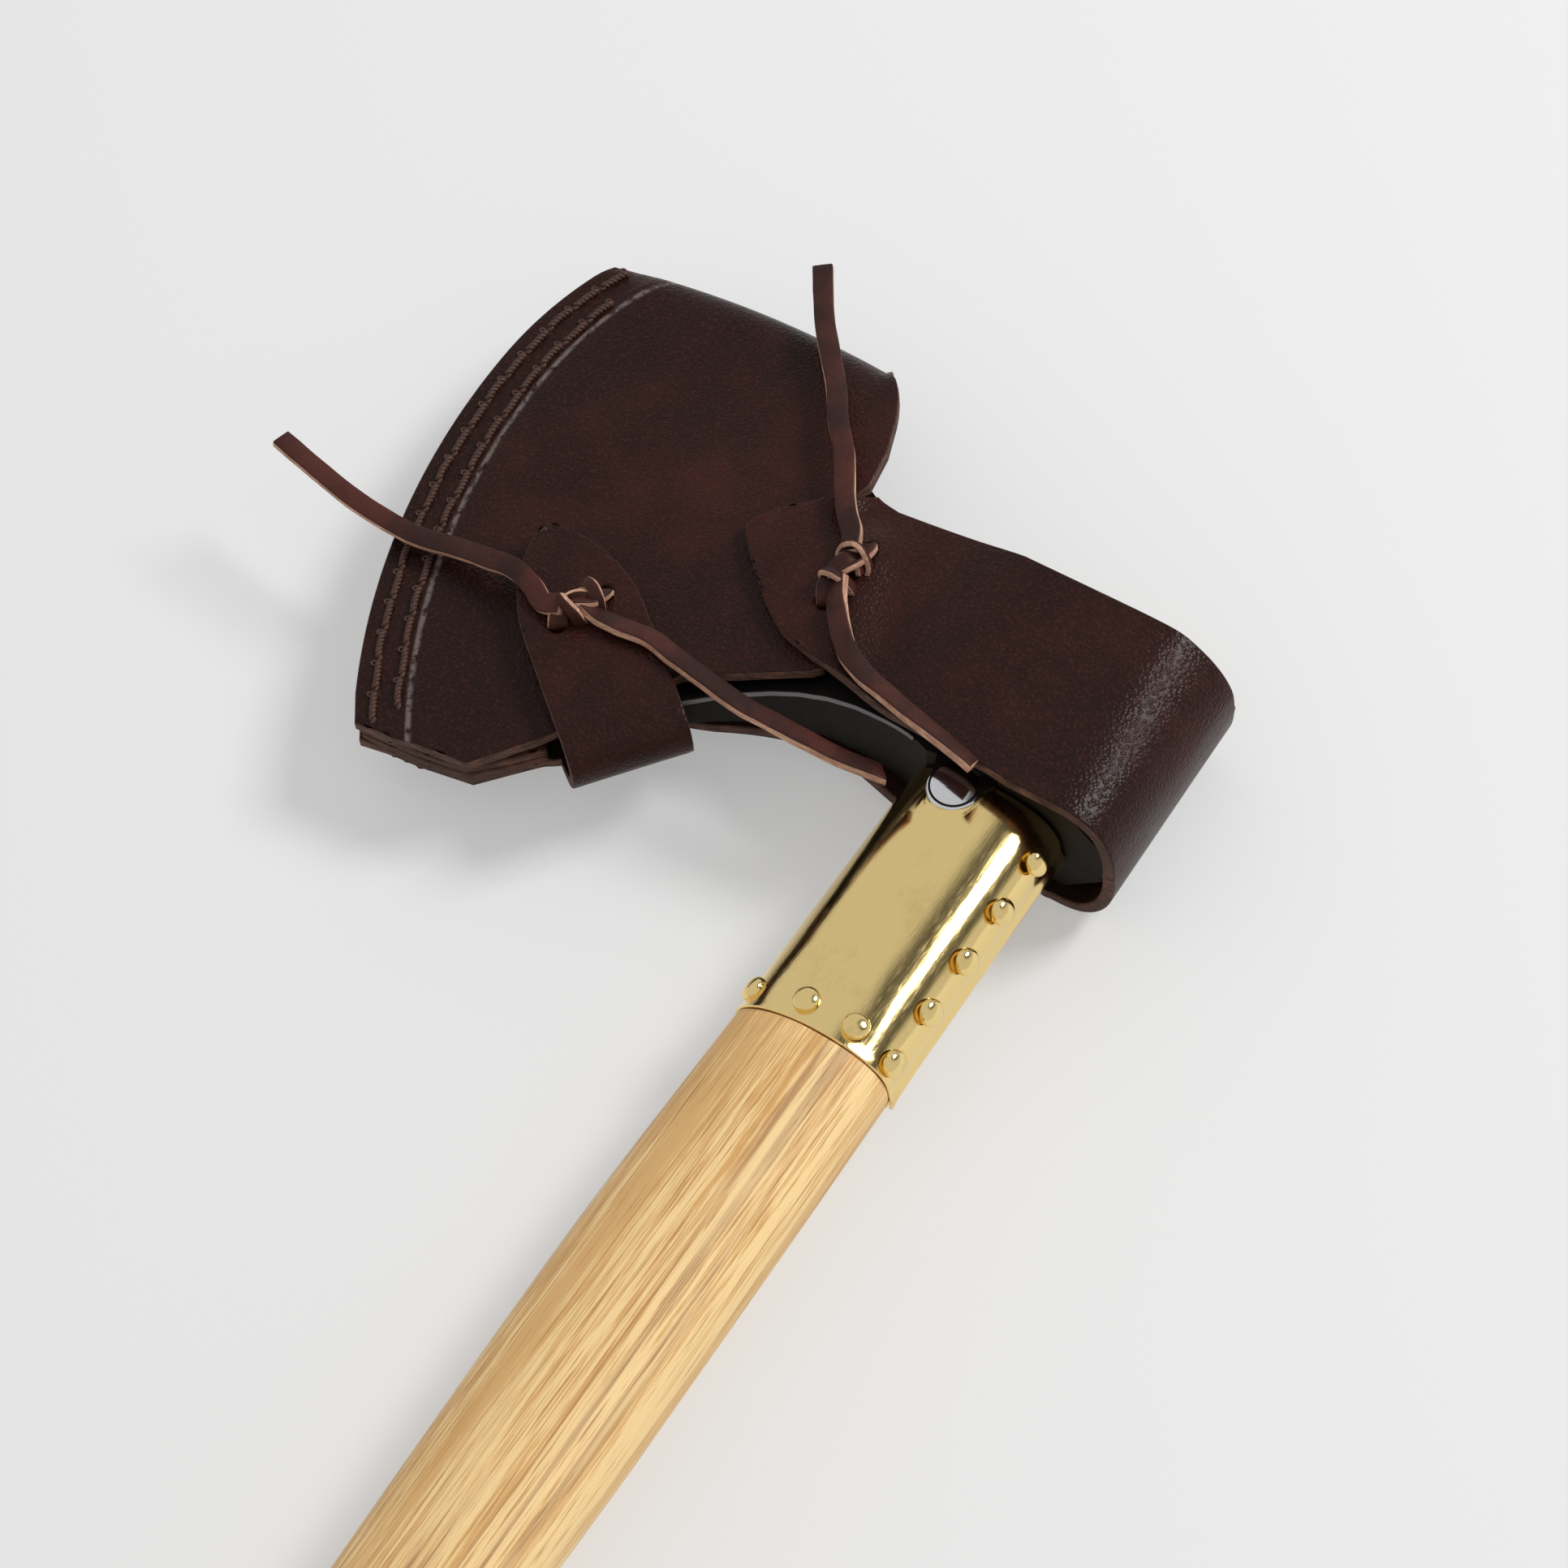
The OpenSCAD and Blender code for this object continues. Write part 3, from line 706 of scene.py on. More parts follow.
def lace(line, width, thick, roll=None, up=(0, 0, 1), slant=0.0, wave=0.0, seed=1.0):
    """Flat thong along a line: (points, faces, material indices), pale at its cut sides."""
    along, ups, sides = frames_along(line, up)
    w, h = width / 2, thick / 2
    r = min(0.35, h * 0.6)
    shape = [(-w + r, h), (0, h * 1.04), (w - r, h), (w - r * 0.3, h - r * 0.3), (w, h - r),
             (w, -h + r), (w - r * 0.3, -h + r * 0.3), (w - r, -h), (0, -h * 1.0), (-w + r, -h),
             (-w + r * 0.3, -h + r * 0.3), (-w, -h + r), (-w, h - r), (-w + r * 0.3, h - r * 0.3)]
    size = len(shape)
    points = []
    last = len(line) - 1
    for i, place in enumerate(line):
        a = 0.0 if roll is None else np.interp(i / last, *roll)
        c, s = math.cos(a), math.sin(a)
        side, top = sides[i] * c + ups[i] * s, ups[i] * c - sides[i] * s
        pinch = 1 + 0.02 * math.sin(0.9 * i + seed) * math.sin(0.37 * i + 2 * seed)
        drop = wave * math.sin(0.8 * i + seed * 3)
        for x, y in shape:
            lead = slant * x / w if i == last else 0.0
            points.append(place + side * (x * pinch) + top * (y + drop) + along[i] * lead)
    faces = tube_faces(len(line), size) + tube_ends(len(line), size)
    indices = [1 if k in (4, 5, 10, 11) else 0 for k in range(size)] * last + [1, 1]
    return points, faces, indices


def join_parts(parts):
    """Several (points, faces, indices) as one."""
    points, faces, indices = [], [], []
    for p, f, i in parts:
        first = len(points)
        points += [tuple(q) for q in p]
        faces += [tuple(first + v for v in face) for face in f]
        indices += list(i)
    return points, faces, indices


def world_z(points):
    """Heights from the blade's middle become heights from the floor."""
    points = np.array(points, float)
    points[:, 2] += MID_Z
    return points


# ---------------------------------------------------------------- sheath surfaces

def cheek(r):
    return POLL_HALF * np.exp(-np.maximum(0, r - CHEEK_R) / POUCH_FADE)


def ripple(xy):
    """Slow unevenness of a hand-formed hide, always outwards."""
    x, y = xy[:, 0], xy[:, 1]
    return 0.22 * (1 + np.sin(0.11 * x + 0.07 * y + 1.3) * np.sin(0.09 * y - 0.06 * x + 0.4))


def panel_mid(xy):
    """Middle of a panel's leather above the blade's middle, and pinched on the welt."""
    r = np.linalg.norm(xy - EDGE_C, axis=1)
    free = cheek(np.minimum(r, STEEL_R)) + GAP + LEATHER / 2 + ripple(xy)
    tight = WELT / 2 + LEATHER / 2
    share = smoothstep(r, STEEL_R, STEEL_R + PINCH)
    groove = GROOVE_SINK * np.exp(-((r - (EDGE_R - GROOVE_IN)) / GROOVE_WIDE) ** 2)
    return free * (1 - share) + tight * share - groove


FOLD = np.array(bezier((58.3, 72.8), (61, 95), (59, 120), (55, 138.5), 46)) - [LEATHER / 2, 0]
FOLD_R = 6.5


def fold_share(xy):
    """Falls from 1 to 0 where the panels turn into each other."""
    gap = nearest(xy, subdivide([tuple(p) for p in FOLD], 0.5, closed=False))
    gap = np.where(gap < 0.03, 0, gap)
    return np.sqrt(np.maximum(0, 1 - (1 - np.minimum(gap / FOLD_R, 1)) ** 2))


def notch_edge():
    return bezier((44, 62), (50, 64.5), (55, 68), tuple(FOLD[0]), 7)[:-1]


def front_outline():
    return (rim(0)[1:] + [(-70.6, 117.4), (-67.5, 91.7), (-55.9, 82.6)]
            + bezier((-29.9, 65.5), (-26, 58), (-21, 50), (-17.3, 42.8), 9)
            + [(-15.6, 41), (0, 52), (10, 62.5), (19, 61), (27, 57.5), (36, 59)] + notch_edge()
            + [tuple(p) for p in FOLD])


def back_outline(tab_s, poll_y):
    tab = [BEARD_BEND + BEARD_ALONG * s + BEARD_ACROSS * w
           for s, w in ((13, BEARD_HALF), (tab_s, BEARD_HALF), (tab_s, -BEARD_HALF), (14, -BEARD_HALF))]
    return (rim(0)[1:] + [(-70.6, 117.4), (-66, 92.9)] + [tuple(p) for p in tab]
            + bezier((-29, 60), (-25, 53), (-21, 46), (-20, 35), 8)
            + [(STRAP_X0 + 1, 24), (STRAP_X0, 18), (STRAP_X0, poll_y), (STRAP_X1, poll_y), (STRAP_X1, 48),
               (26, 57), (30, 66)] + bezier((40, 70), (47, 71), (53, 71), tuple(FOLD[0]), 7)[:-1]
            + [tuple(p) for p in FOLD])


def back_mid(xy):
    """The back panel, level at the root of the beard strap and flat below the poll."""
    z = -panel_mid(xy)
    local = xy - BEARD_BEND
    s, w = local @ BEARD_ALONG, local @ BEARD_ACROSS
    tab = (1 - smoothstep(s, 12, 22)) * (1 - smoothstep(np.abs(w), 12.6, 16)) * (1 - smoothstep(-s, 6, 9))
    z = z * (1 - tab) + (BEARD_LOW - LEATHER / 2) * tab
    flat = 1 - smoothstep(xy[:, 1], -2, 26)
    return z * (1 - flat) - (POLL_HALF + GAP + LEATHER / 2) * flat


# Where the pouch ends below the two straps: along the beard strap, and along y
POUCH_TAB = 12.0
ROOT_Y = -14.0
ROW_STEP = 1.6


def fold_rows():
    """Rows of points beside the fold, where the panels bend."""
    return np.vstack([subdivide([tuple(p - [gap, 0]) for p in FOLD[1:-1]], ROW_STEP, closed=False)
                      for gap in (0.18, 0.6, 1.3, 2.2, 3.4, 4.9)])


def groove_rows():
    """Rows of points along the pressed line."""
    return np.vstack([subdivide(rim(deep), ROW_STEP, closed=False)
                      for deep in (7.6, 8.6, 9.6, 10.4, 11.2, 12.0, 13.2)])


def make_pouch(materials):
    extra = np.vstack([fold_rows(), groove_rows()])
    fp, ft = fill(front_outline(), 1.5, extra=extra, coarse=1.6)
    bp, bt = fill(back_outline(POUCH_TAB, ROOT_Y), 1.5, extra=extra, coarse=1.6)
    front = np.column_stack([fp, panel_mid(fp) * fold_share(fp)])
    bfold = fold_share(bp)
    back = np.column_stack([bp, back_mid(bp) * bfold])
    points = np.vstack([front, back])
    triangles = np.vstack([ft, bt[:, ::-1] + len(front)])
    keys, target = {}, np.arange(len(points))
    for i in np.nonzero(np.abs(points[:, 2]) < 1e-6)[0]:
        key = (round(points[i][0], 3), round(points[i][1], 3))
        target[i] = keys.setdefault(key, i)
    triangles = target[triangles]
    used = np.unique(triangles)
    renumber = np.zeros(len(points), int)
    renumber[used] = np.arange(len(used))

    def square(p):
        local = p[:2] - BEARD_BEND
        return (p[2] < 0 and (p[1] < ROOT_Y + 0.1
                              or (local @ BEARD_ALONG < POUCH_TAB + 0.1
                                  and abs(local @ BEARD_ACROSS) < BEARD_HALF + 0.1)))

    pouch = thick_sheet("sheath_pouch", points[used], renumber[triangles], LEATHER, materials, cut=square)
    pouch.location.z = MID_Z * MM
    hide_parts("pouch")
    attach(pouch, "sheath")


def make_welt(material):
    """The strip between the panels along the rim, and the doubled filler along the heel."""
    inner = rim(11.6)
    points, triangles = fill(rim(0.5)[5:] + inner[5:][::-1], 1.5)
    middle = 0.12 * np.sin(points[:, 0] * 0.9) * np.sin(points[:, 1] * 0.7)
    lifted = np.column_stack([points, middle])
    welt = thick_sheet("sheath_welt", lifted, triangles, WELT - 0.4, [material] * 3, 0.4)
    welt.location.z = MID_Z * MM
    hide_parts("edge_welt")
    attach(welt, "sheath")
    heel = [(-70.0, 116.9), (-68.9, 104), (-67.0, 92.9), (-61, 86.7), (-55.2, 81.6), (-52.0, 84.0),
            (-57.6, 90.6), (-61.6, 97.5), (-62.6, 104), (-61.2, 112.0)]
    points, triangles = fill(heel, 1.3)
    for name, height, thick in (("heel_filler_upper", 1.15, 2.1), ("heel_filler_lower", -1.2, 2.2)):
        level = height + 0.1 * np.sin(points[:, 0] * 1.1 + height) * np.sin(points[:, 1] * 0.8)
        strip = thick_sheet(name, np.column_stack([points, level]), triangles, thick, [material] * 3, 0.5)
        strip.location.z = MID_Z * MM
        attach(strip, "sheath")


# ---------------------------------------------------------------- stitches

STITCH_PITCH = 7.5
THREAD_R = 0.49


def row_place(deep, s):
    """Place and direction along a stitch row."""
    toe = (TOE_R - deep) * math.radians(90 - TOE_A)
    if s < toe:
        a, centre, radius = math.radians(TOE_A) + s / (TOE_R - deep), TOE_C, TOE_R - deep
    else:
        a, centre, radius = math.pi / 2 + (s - toe) / (EDGE_R - deep), EDGE_C, EDGE_R - deep
    return (centre + radius * np.array([math.cos(a), math.sin(a)]),
            np.array([-math.sin(a), math.cos(a)]))


def strand(line, radius, sides=6):
    """Round thread along a line."""
    _, ups, across = frames_along(line, (0.1, 0.2, 1))
    points = []
    for i, place in enumerate(line):
        for a in full_turn(sides):
            points.append(place + radius * (math.cos(a) * across[i] + math.sin(a) * ups[i]))
    faces = tube_faces(len(line), sides, (1, 0, 3, 2)) + turned(tube_ends(len(line), sides))
    return points, faces, [0] * len(faces)


def stitch(deep, s, side, offset):
    """Two twisted strands that dive into the leather at both ends, with a knot loop at one."""
    length = STITCH_PITCH - 0.5
    steps = 26
    core = []
    for t in np.linspace(0, 1, steps):
        place, along = row_place(deep, s + (t - 0.5) * length)
        out = np.array([along[1], -along[0]]) * (offset * math.sin(math.pi * t))
        rise = -0.9 + 1.55 * min(1, math.sin(math.pi * t) * 2.4) ** 0.8
        face = panel_mid(place[None])[0] + LEATHER / 2
        core.append([place[0] + out[0], place[1] + out[1], side * (face + rise * 0.62)])
    core = np.array(core)
    _, ups, across = frames_along(core, (0, 0, 1))
    parts = []
    for half in (0, math.pi):
        turn = np.linspace(0, 3.6 * 2 * math.pi, steps) + half
        spin = np.cos(turn)[:, None] * ups + np.sin(turn)[:, None] * across
        parts.append(strand(core + 0.36 * spin, THREAD_R))
    ring = []
    place, along = row_place(deep, s - length / 2 + 0.5)
    face = panel_mid(place[None])[0] + LEATHER / 2
    for a in np.linspace(0.2, 2 * math.pi - 0.2, 12):
        out = np.array([along[1], -along[0]])
        xy = place + along * (0.55 * math.cos(a)) + out * (0.85 * math.sin(a) + 0.5)
        ring.append([xy[0], xy[1], side * (face + 0.22)])
    parts.append(strand(np.array(ring), 0.3, 5))
    return parts


def make_stitches(name, node, deep, first, count, material):
    parts = []
    for i in range(count):
        for side in (-1, 1):
            lean = 0.28 * math.sin(2.1 * i + deep)
            parts += stitch(deep, first + i * STITCH_PITCH, side, lean)
    points, faces, _ = join_parts(parts)
    made = mesh_object(name, world_z(points), faces, [material])
    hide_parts(node)
    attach(made, "sheath")


# ---------------------------------------------------------------- poll strap

POLL_PROFILE = [
    (-14, -16.65), (-18.5, -16.6), (-21.8, -15.7), (-24.6, -13.4), (-26.6, -10.2), (-27.9, -6),
    (-28.4, -1.5), (-28.4, 3), (-28.0, 7.2), (-26.9, 11.0), (-24.7, 14.2), (-21.6, 16.1), (-18, 16.85),
    (-12, 17.0), (0, 17.0)]
# The same rows at the top of the head, where the strap is pulled rounder
POLL_PROFILE_TOP = [
    (-14, -16.75), (-18.1, -16.2), (-21.2, -14.4), (-23.9, -11.7), (-26.1, -8.6), (-27.7, -5.2),
    (-28.2, -1.4), (-28.2, 2.0), (-27.7, 5.6), (-26.0, 8.9), (-23.5, 11.9), (-20.2, 14.5), (-16.4, 16.5),
    (-10, 17.0), (0, 17.0)]
WEB_SPLIT_Z = 1.0


def profile_line(profile):
    return catmull([(y, z, 0) for y, z in profile], 10)[:, :2]


def leaf_mid(xy):
    """The leaf lies on the poll, then climbs over the end of the front panel."""
    r = np.linalg.norm(xy - EDGE_C, axis=1)
    lift = (LEATHER + 0.6) * smoothstep(r, 56, 70)
    lift = lift * (1 - smoothstep(xy[:, 0], 9, 22) * (1 - smoothstep(xy[:, 1], 52, 62)))
    low = cheek(r) + GAP + LEATHER / 2 + lift
    share = smoothstep(xy[:, 1], -6, 30)
    return 17.0 * (1 - share) + low * share


def leaf_outline(total, y_end):
    """The strap's outline unrolled: across it, and along it from the root."""
    def at(y):
        return total + y - y_end

    left = [(-3.1, 65.6), (-9, 59), (-13.5, 52.4), (-15.8, 43.6), (-17.2, 35.2), (-19.2, 24),
            (-20.7, 14), (-22.1, 4), (STRAP_X0, -6)]
    right = [(STRAP_X1, 30), (STRAP_X1, 48.3), (25.2, 54.5), (19.2, 62.2), (12.6, 69.4)]
    tip = [(8.6, 72.6), (6.0, 73.6), (3.4, 72.2)]
    return [(x, at(y)) for x, y in right + tip + left]


def lengths_along(line):
    """How far along a line each of its points is."""
    return np.concatenate([[0], np.cumsum(np.linalg.norm(np.diff(line, axis=0), axis=1))])


def split_at(line, s_of, height):
    """How far along a strap's profile it first rises above a height."""
    return s_of[np.nonzero(line[:, 1] > height)[0][0]]


def at_level(points, source, *levels):
    """Tells whether a point of a strap is where the unrolled strap has one of these lengths."""
    def cut(p):
        along = source[np.abs(points - p).sum(axis=1).argmin()][1]
        return any(abs(along - level) < 1e-6 for level in levels)

    return cut


def make_poll_strap(materials):
    line, top_line = profile_line(POLL_PROFILE), profile_line(POLL_PROFILE_TOP)
    s_of = lengths_along(line)
    total, y_end = s_of[-1], line[-1][0]
    split = split_at(line, s_of, WEB_SPLIT_Z)

    def place(xs):
        x, s = xs[:, 0], xs[:, 1]
        y = np.where(s < total, np.interp(s, s_of, line[:, 0]), y_end + s - total)
        z = np.interp(s, s_of, line[:, 1])
        leaf = leaf_mid(np.column_stack([x, y]))
        z = np.where(s < total, z, leaf)
        share = np.where(s < total, smoothstep(x, STRAP_X0 - 6, STRAP_X1 + 6), 0.0)
        y = y + share * (np.interp(s, s_of, top_line[:, 0]) - np.interp(s, s_of, line[:, 0]))
        z = z + share * (np.interp(s, s_of, top_line[:, 1]) - np.interp(s, s_of, line[:, 1]))
        return np.column_stack([x, y, z + MID_Z])

    root = [(STRAP_X1, 0), (STRAP_X1, split), (STRAP_X0, split), (STRAP_X0, 0)]
    xs, triangles = fill(root, 1.3)
    points = place(xs)
    lower = thick_sheet("poll_strap_root", points, triangles, LEATHER, materials,
                        cut=at_level(points, xs, 0.0, split))
    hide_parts("poll_strap_web")
    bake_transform(lower)

    outline = [(STRAP_X0, split), (STRAP_X1, split)] + leaf_outline(total, y_end)
    holes = [round_hole(x, total + y - y_end) for x, y in POLL_HOLES]
    xs2, triangles2 = fill(outline, 1.3, holes=holes)
    points2 = place(xs2)
    upper = thick_sheet("poll_strap_over", points2, triangles2, LEATHER, materials,
                        cut=at_level(points2, xs2, split))
    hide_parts("poll_strap_leaf")
    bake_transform(upper)


# ---------------------------------------------------------------- beard strap

BEARD_SPLIT_Z = 2.0


def beard_profile():
    """From the root below, round the beard and on to the leaf: along the strap, and height."""
    low, top = BEARD_LOW - LEATHER / 2, BEARD_TOP + LEATHER / 2
    return profile_line([(POUCH_TAB, low), (10.0, low + 0.4), (7.6, low + 1.8), (5.2, low + 4.4),
                         (3.4, low + 7.6), (2.3, 2.6), (2.0, 5.0), (3.0, top - 1.8), (5.6, top - 0.4),
                         (9, top + 0.2), (14, top + 0.1)])


def make_beard_strap(materials):
    line = beard_profile()
    s_of = lengths_along(line)
    total, u_end = s_of[-1], line[-1][0]
    split = split_at(line, s_of, BEARD_SPLIT_Z)

    def place(ws):
        w, s = ws[:, 0], ws[:, 1]
        u = np.where(s < total, np.interp(s, s_of, line[:, 0]), u_end + s - total)
        wave = np.where(s > total, 0.35 * np.sin((s - total) * 0.09), 0)
        z = np.interp(s, s_of, line[:, 1]) + wave - 0.012 * np.maximum(0, np.abs(w) - 6)
        xy = BEARD_BEND[None] + BEARD_ALONG[None] * u[:, None] + BEARD_ACROSS[None] * w[:, None]
        return np.column_stack([xy, z + MID_Z])

    half = BEARD_HALF
    ws, triangles = fill([(half, 0), (half, split), (-half, split), (-half, 0)], 1.2)
    points = place(ws)
    lower = thick_sheet("beard_strap_root", points, triangles[:, ::-1], LEATHER, materials,
                        cut=at_level(points, ws, 0, split))
    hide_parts("beard_strap_web")

    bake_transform(lower)

    def leaf(u):
        return total + u - u_end

    tip = (bezier((-half, leaf(33)), (-half + 0.2, leaf(44)), (-6.5, leaf(54)), (-0.8, leaf(58.4)), 10)
           + bezier((0.8, leaf(58.4)), (7.5, leaf(54)), (half - 0.2, leaf(44)), (half, leaf(33)), 10))
    holes = []
    for x, y in BEARD_HOLES:
        local = np.array([x, y]) - BEARD_BEND
        holes.append(round_hole(local @ BEARD_ACROSS, leaf(local @ BEARD_ALONG)))
    ws2, triangles2 = fill([(half, split), (-half, split)] + tip, 1.2, holes=holes)
    points2 = place(ws2)
    upper = thick_sheet("beard_strap_over", points2, triangles2[:, ::-1], LEATHER, materials,
                        cut=at_level(points2, ws2, split))
    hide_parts("beard_strap_leaf")
    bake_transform(upper)


# ---------------------------------------------------------------- thongs

# Where a thong's end runs on into its knot, past the CAD route
KNOT_ENDS = {
    "poll_tail_upper": [(6.6, 48.9, 17.9)],
    "poll_tail_lower": [(0.4, 47.3, 17.9)],
    "beard_tail_outer": [(-31.2, 92.8, 15.0)],
    "beard_tail_inner": [(-28.6, 89.6, 14.4)],
}
TAIL_ROLLS = {
    "poll_tail_upper": ([0, 0.25, 0.6, 1], [0.5, 0.25, -0.15, 0.1]),
    "poll_tail_lower": ([0, 0.3, 0.6, 1], [-0.9, -0.3, 0.35, 0.75]),
    "beard_tail_outer": ([0, 0.3, 0.7, 1], [0.28, 0.08, -0.08, -0.24]),
    "beard_tail_inner": ([0, 0.3, 0.7, 1], [0.6, 0.3, 0.25, 0.45]),
}


def make_tail(node, body, material_pair, slant):
    line = world_z(catmull(KNOT_ENDS.get(node, []) + ROUTES[node], 6))
    seed = 1.0 + 0.7 * len(node)
    points, faces, indices = lace(line, THONG_W, THONG_T, roll=TAIL_ROLLS[node], slant=slant,
                                  wave=0.04, seed=seed)
    tail = mesh_object("thong_" + node, points, faces, material_pair, indices)
    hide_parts(node)
    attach(tail, body)
    path = [tuple(p * MM) for p in line[::3]]
    if np.linalg.norm(line[-1] - line[::3][-1]) > 1e-6:
        path.append(tuple(line[-1] * MM))
    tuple(path[0])


def knot_parts(holes, face):
    """Two thongs come up through the holes, cross, and are bound by a turn at each side."""
    a, b = np.array(holes[0]), np.array(holes[1])
    middle = (a + b) / 2
    half = np.linalg.norm(a - b) / 2
    u = (a - b) / (2 * half)
    v = np.array([-u[1], u[0]])

    def at(p, q, w):
        xy = middle + u * p + v * q
        return (xy[0], xy[1], face + w)

    first = [at(-half, 0, -2.4), at(-half, 0, 0.4), at(-half * 0.75, 1.0, 1.9), at(-half * 0.3, 1.4, 3.0),
             at(half * 0.12, 0.2, 3.7), at(half * 0.3, -1.5, 2.6), at(half * 0.25, -2.4, 0.8)]
    second = [at(half, 0, -2.4), at(half, 0, 0.4), at(half * 0.75, -1.0, 1.8), at(half * 0.3, -1.2, 2.8),
              at(-half * 0.1, 0.0, 3.2), at(-half * 0.35, 1.6, 2.4), at(-half * 0.3, 2.4, 0.8)]
    parts = []
    for line, roll in ((first, 0.3), (second, -0.4)):
        parts.append(lace(catmull(line, 7), THONG_W * 0.9, THONG_T * 0.8,
                          roll=([0, 0.5, 1], [0, roll, roll * 0.5]), up=(0.3, 0.2, 1)))
    for k in (-1, 1):
        p = k * half * 0.42
        turn = [at(p - 0.5 * k, -3.0, -0.2), at(p, -3.1, 1.6), at(p + 0.5 * k, -2.0, 4.0),
                at(p + 0.9 * k, 0, 5.2), at(p + 0.5 * k, 2.2, 4.0), at(p, 3.2, 1.6),
                at(p - 0.5 * k, 3.0, -0.2)]
        parts.append(lace(catmull(turn, 6), THONG_W * 0.6, 1.5, up=(u[0] * k, u[1] * k, 0.25),
                          roll=([0, 0.5, 1], [1.1, 0.75, 1.1])))
    return parts


def make_knot(name, node, body, holes, face, material_pair):
    points, faces, indices = join_parts(knot_parts(holes, face))
    knot = mesh_object(name, world_z(points), faces, material_pair, indices)
    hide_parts(node)
    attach(knot, body)


# ---------------------------------------------------------------- sleeve and handle

def egg(a, back, front, half, grow):
    """Section of the handle: blunt at the poll side, lean at the edge side."""
    c, s = math.cos(a), math.sin(a)
    y = (front + grow) * c**1.2 if c > 0 else -(back + grow) * (-c)**0.78
    power = 1.15 if c > 0 else 0.84
    return y, (half + grow) * math.copysign(abs(s)**power, s)


SEAM_A = math.radians(200)
SEAM_LAP = 0.20
SLEEVE_STEPS = 150


def lug_dip(y):
    """How far the sleeve's top edge is cut back for the lug."""
    room = LUG_W / 2 + 0.15
    off = abs(y - LUG_TIP[1])
    if off >= room:
        return 0.0
    return SLEEVE_TOP - (LUG_TIP[0] - math.sqrt(room * room - off * off))


def sleeve_place(x, a, lap):
    t = (SLEEVE_TOP - x) / (SLEEVE_TOP - SLEEVE_END)
    row = [p + (q - p) * t for p, q in zip(SLEEVE_ROWS[0][1:], SLEEVE_ROWS[1][1:])]
    lip = 0.30 * math.exp(-(x - SLEEVE_END) / 1.2)
    ripple_x = 0.10 * math.sin(a * 7 + x * 0.35) * math.exp(-(x - SLEEVE_END) / 9)
    grow = -SHEET / 2 + lip + ripple_x + lap
    y, z = egg(a, *row, grow)
    dip = lug_dip(y)
    if dip > 0:
        edge = SLEEVE_TOP - dip
        rise = 0.75 * math.exp(-max(0.0, edge - x) / 1.1)
        z += math.copysign(rise, z)
    return x, y, z


def make_sleeve(material):
    """One sheet wrapped round the handle, lapped along the seam that the tacks hold."""
    rows = 44
    points, triangles = [], []
    angles = np.linspace(SEAM_A - SEAM_LAP, SEAM_A + 2 * math.pi, SLEEVE_STEPS)
    for a in angles:
        past = a - (SEAM_A + 2 * math.pi - SEAM_LAP)
        lap = (SHEET + 0.08) * float(smoothstep(np.array(past), -0.16, 0.0))
        t = np.linspace(0, 1, rows)
        y, _ = egg(a, *SLEEVE_ROWS[0][1:], 0)
        top = SLEEVE_TOP - lug_dip(y)
        for k in t:
            points.append(sleeve_place(top + (SLEEVE_END - top) * k, a, lap))
    for i in range(SLEEVE_STEPS - 1):
        for k in range(rows - 1):
            p, q = i * rows + k, (i + 1) * rows + k
            triangles += [(p, p + 1, q + 1), (p, q + 1, q)]
    sleeve = thick_sheet("sleeve_sheet", world_z(points), np.array(triangles)[:, ::-1], SHEET,
                         [material] * 3, 0.28)
    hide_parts("brass_sleeve")
    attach(sleeve, "hatchet")


HANDLE_ROWS = [
    (HANDLE_TOP, 14.2, 14.8, 8.9), (8, 14.5, 15.0, 9.0), (-8, 14.8, 15.2, 9.1), (-21.2, 15.0, 15.4, 9.2),
    (SLEEVE_TOP, 16.15, 15.75, 9.75), (SLEEVE_END, 16.65, 16.15, 10.35),
    (SLEEVE_END - 0.3, 17.4, 16.8, 11.1), (-107, 17.6, 17.3, 11.5),
    (-130, 17.7, 17.7, 11.8), (-155, 17.8, 17.6, 11.95), (-180, 17.7, 17.1, 12), (-210, 17.0, 16.3, 11.85),
    (-240, 16.2, 15.6, 11.6), (-268, 16.1, 15.0, 11.5), (-290, 17, 14.8, 11.6), (-308, 18.8, 14.9, 11.9),
    (-322, 21, 15.4, 12.4), (-331, 22.8, 16.3, 13.2), (-338, 24, 17, 14), (-344, 24.4, 17.1, 14)]


HIDDEN_ROWS = 6


def handle_rings():
    """The rows inside the head and the sleeve, a smooth grip, and a rounded, closed end."""
    rings = list(HANDLE_ROWS[:HIDDEN_ROWS])
    rings += [tuple(row) for row in catmull(HANDLE_ROWS[HIDDEN_ROWS:], 6)]
    end_x, *end = HANDLE_ROWS[-1]
    for a in np.linspace(0.2, 1.0, 7):
        turn = a * math.pi / 2
        back = 3.2 * (1 - math.cos(turn))
        rings.append((end_x - (end_x - HANDLE_END) * math.sin(turn), *(size - back for size in end)))
    x, *sizes = rings[-1]
    for share in (0.75, 0.45, 0.15):
        rings.append((x - 0.05 * (1 - share), *(size * share for size in sizes)))
    return rings


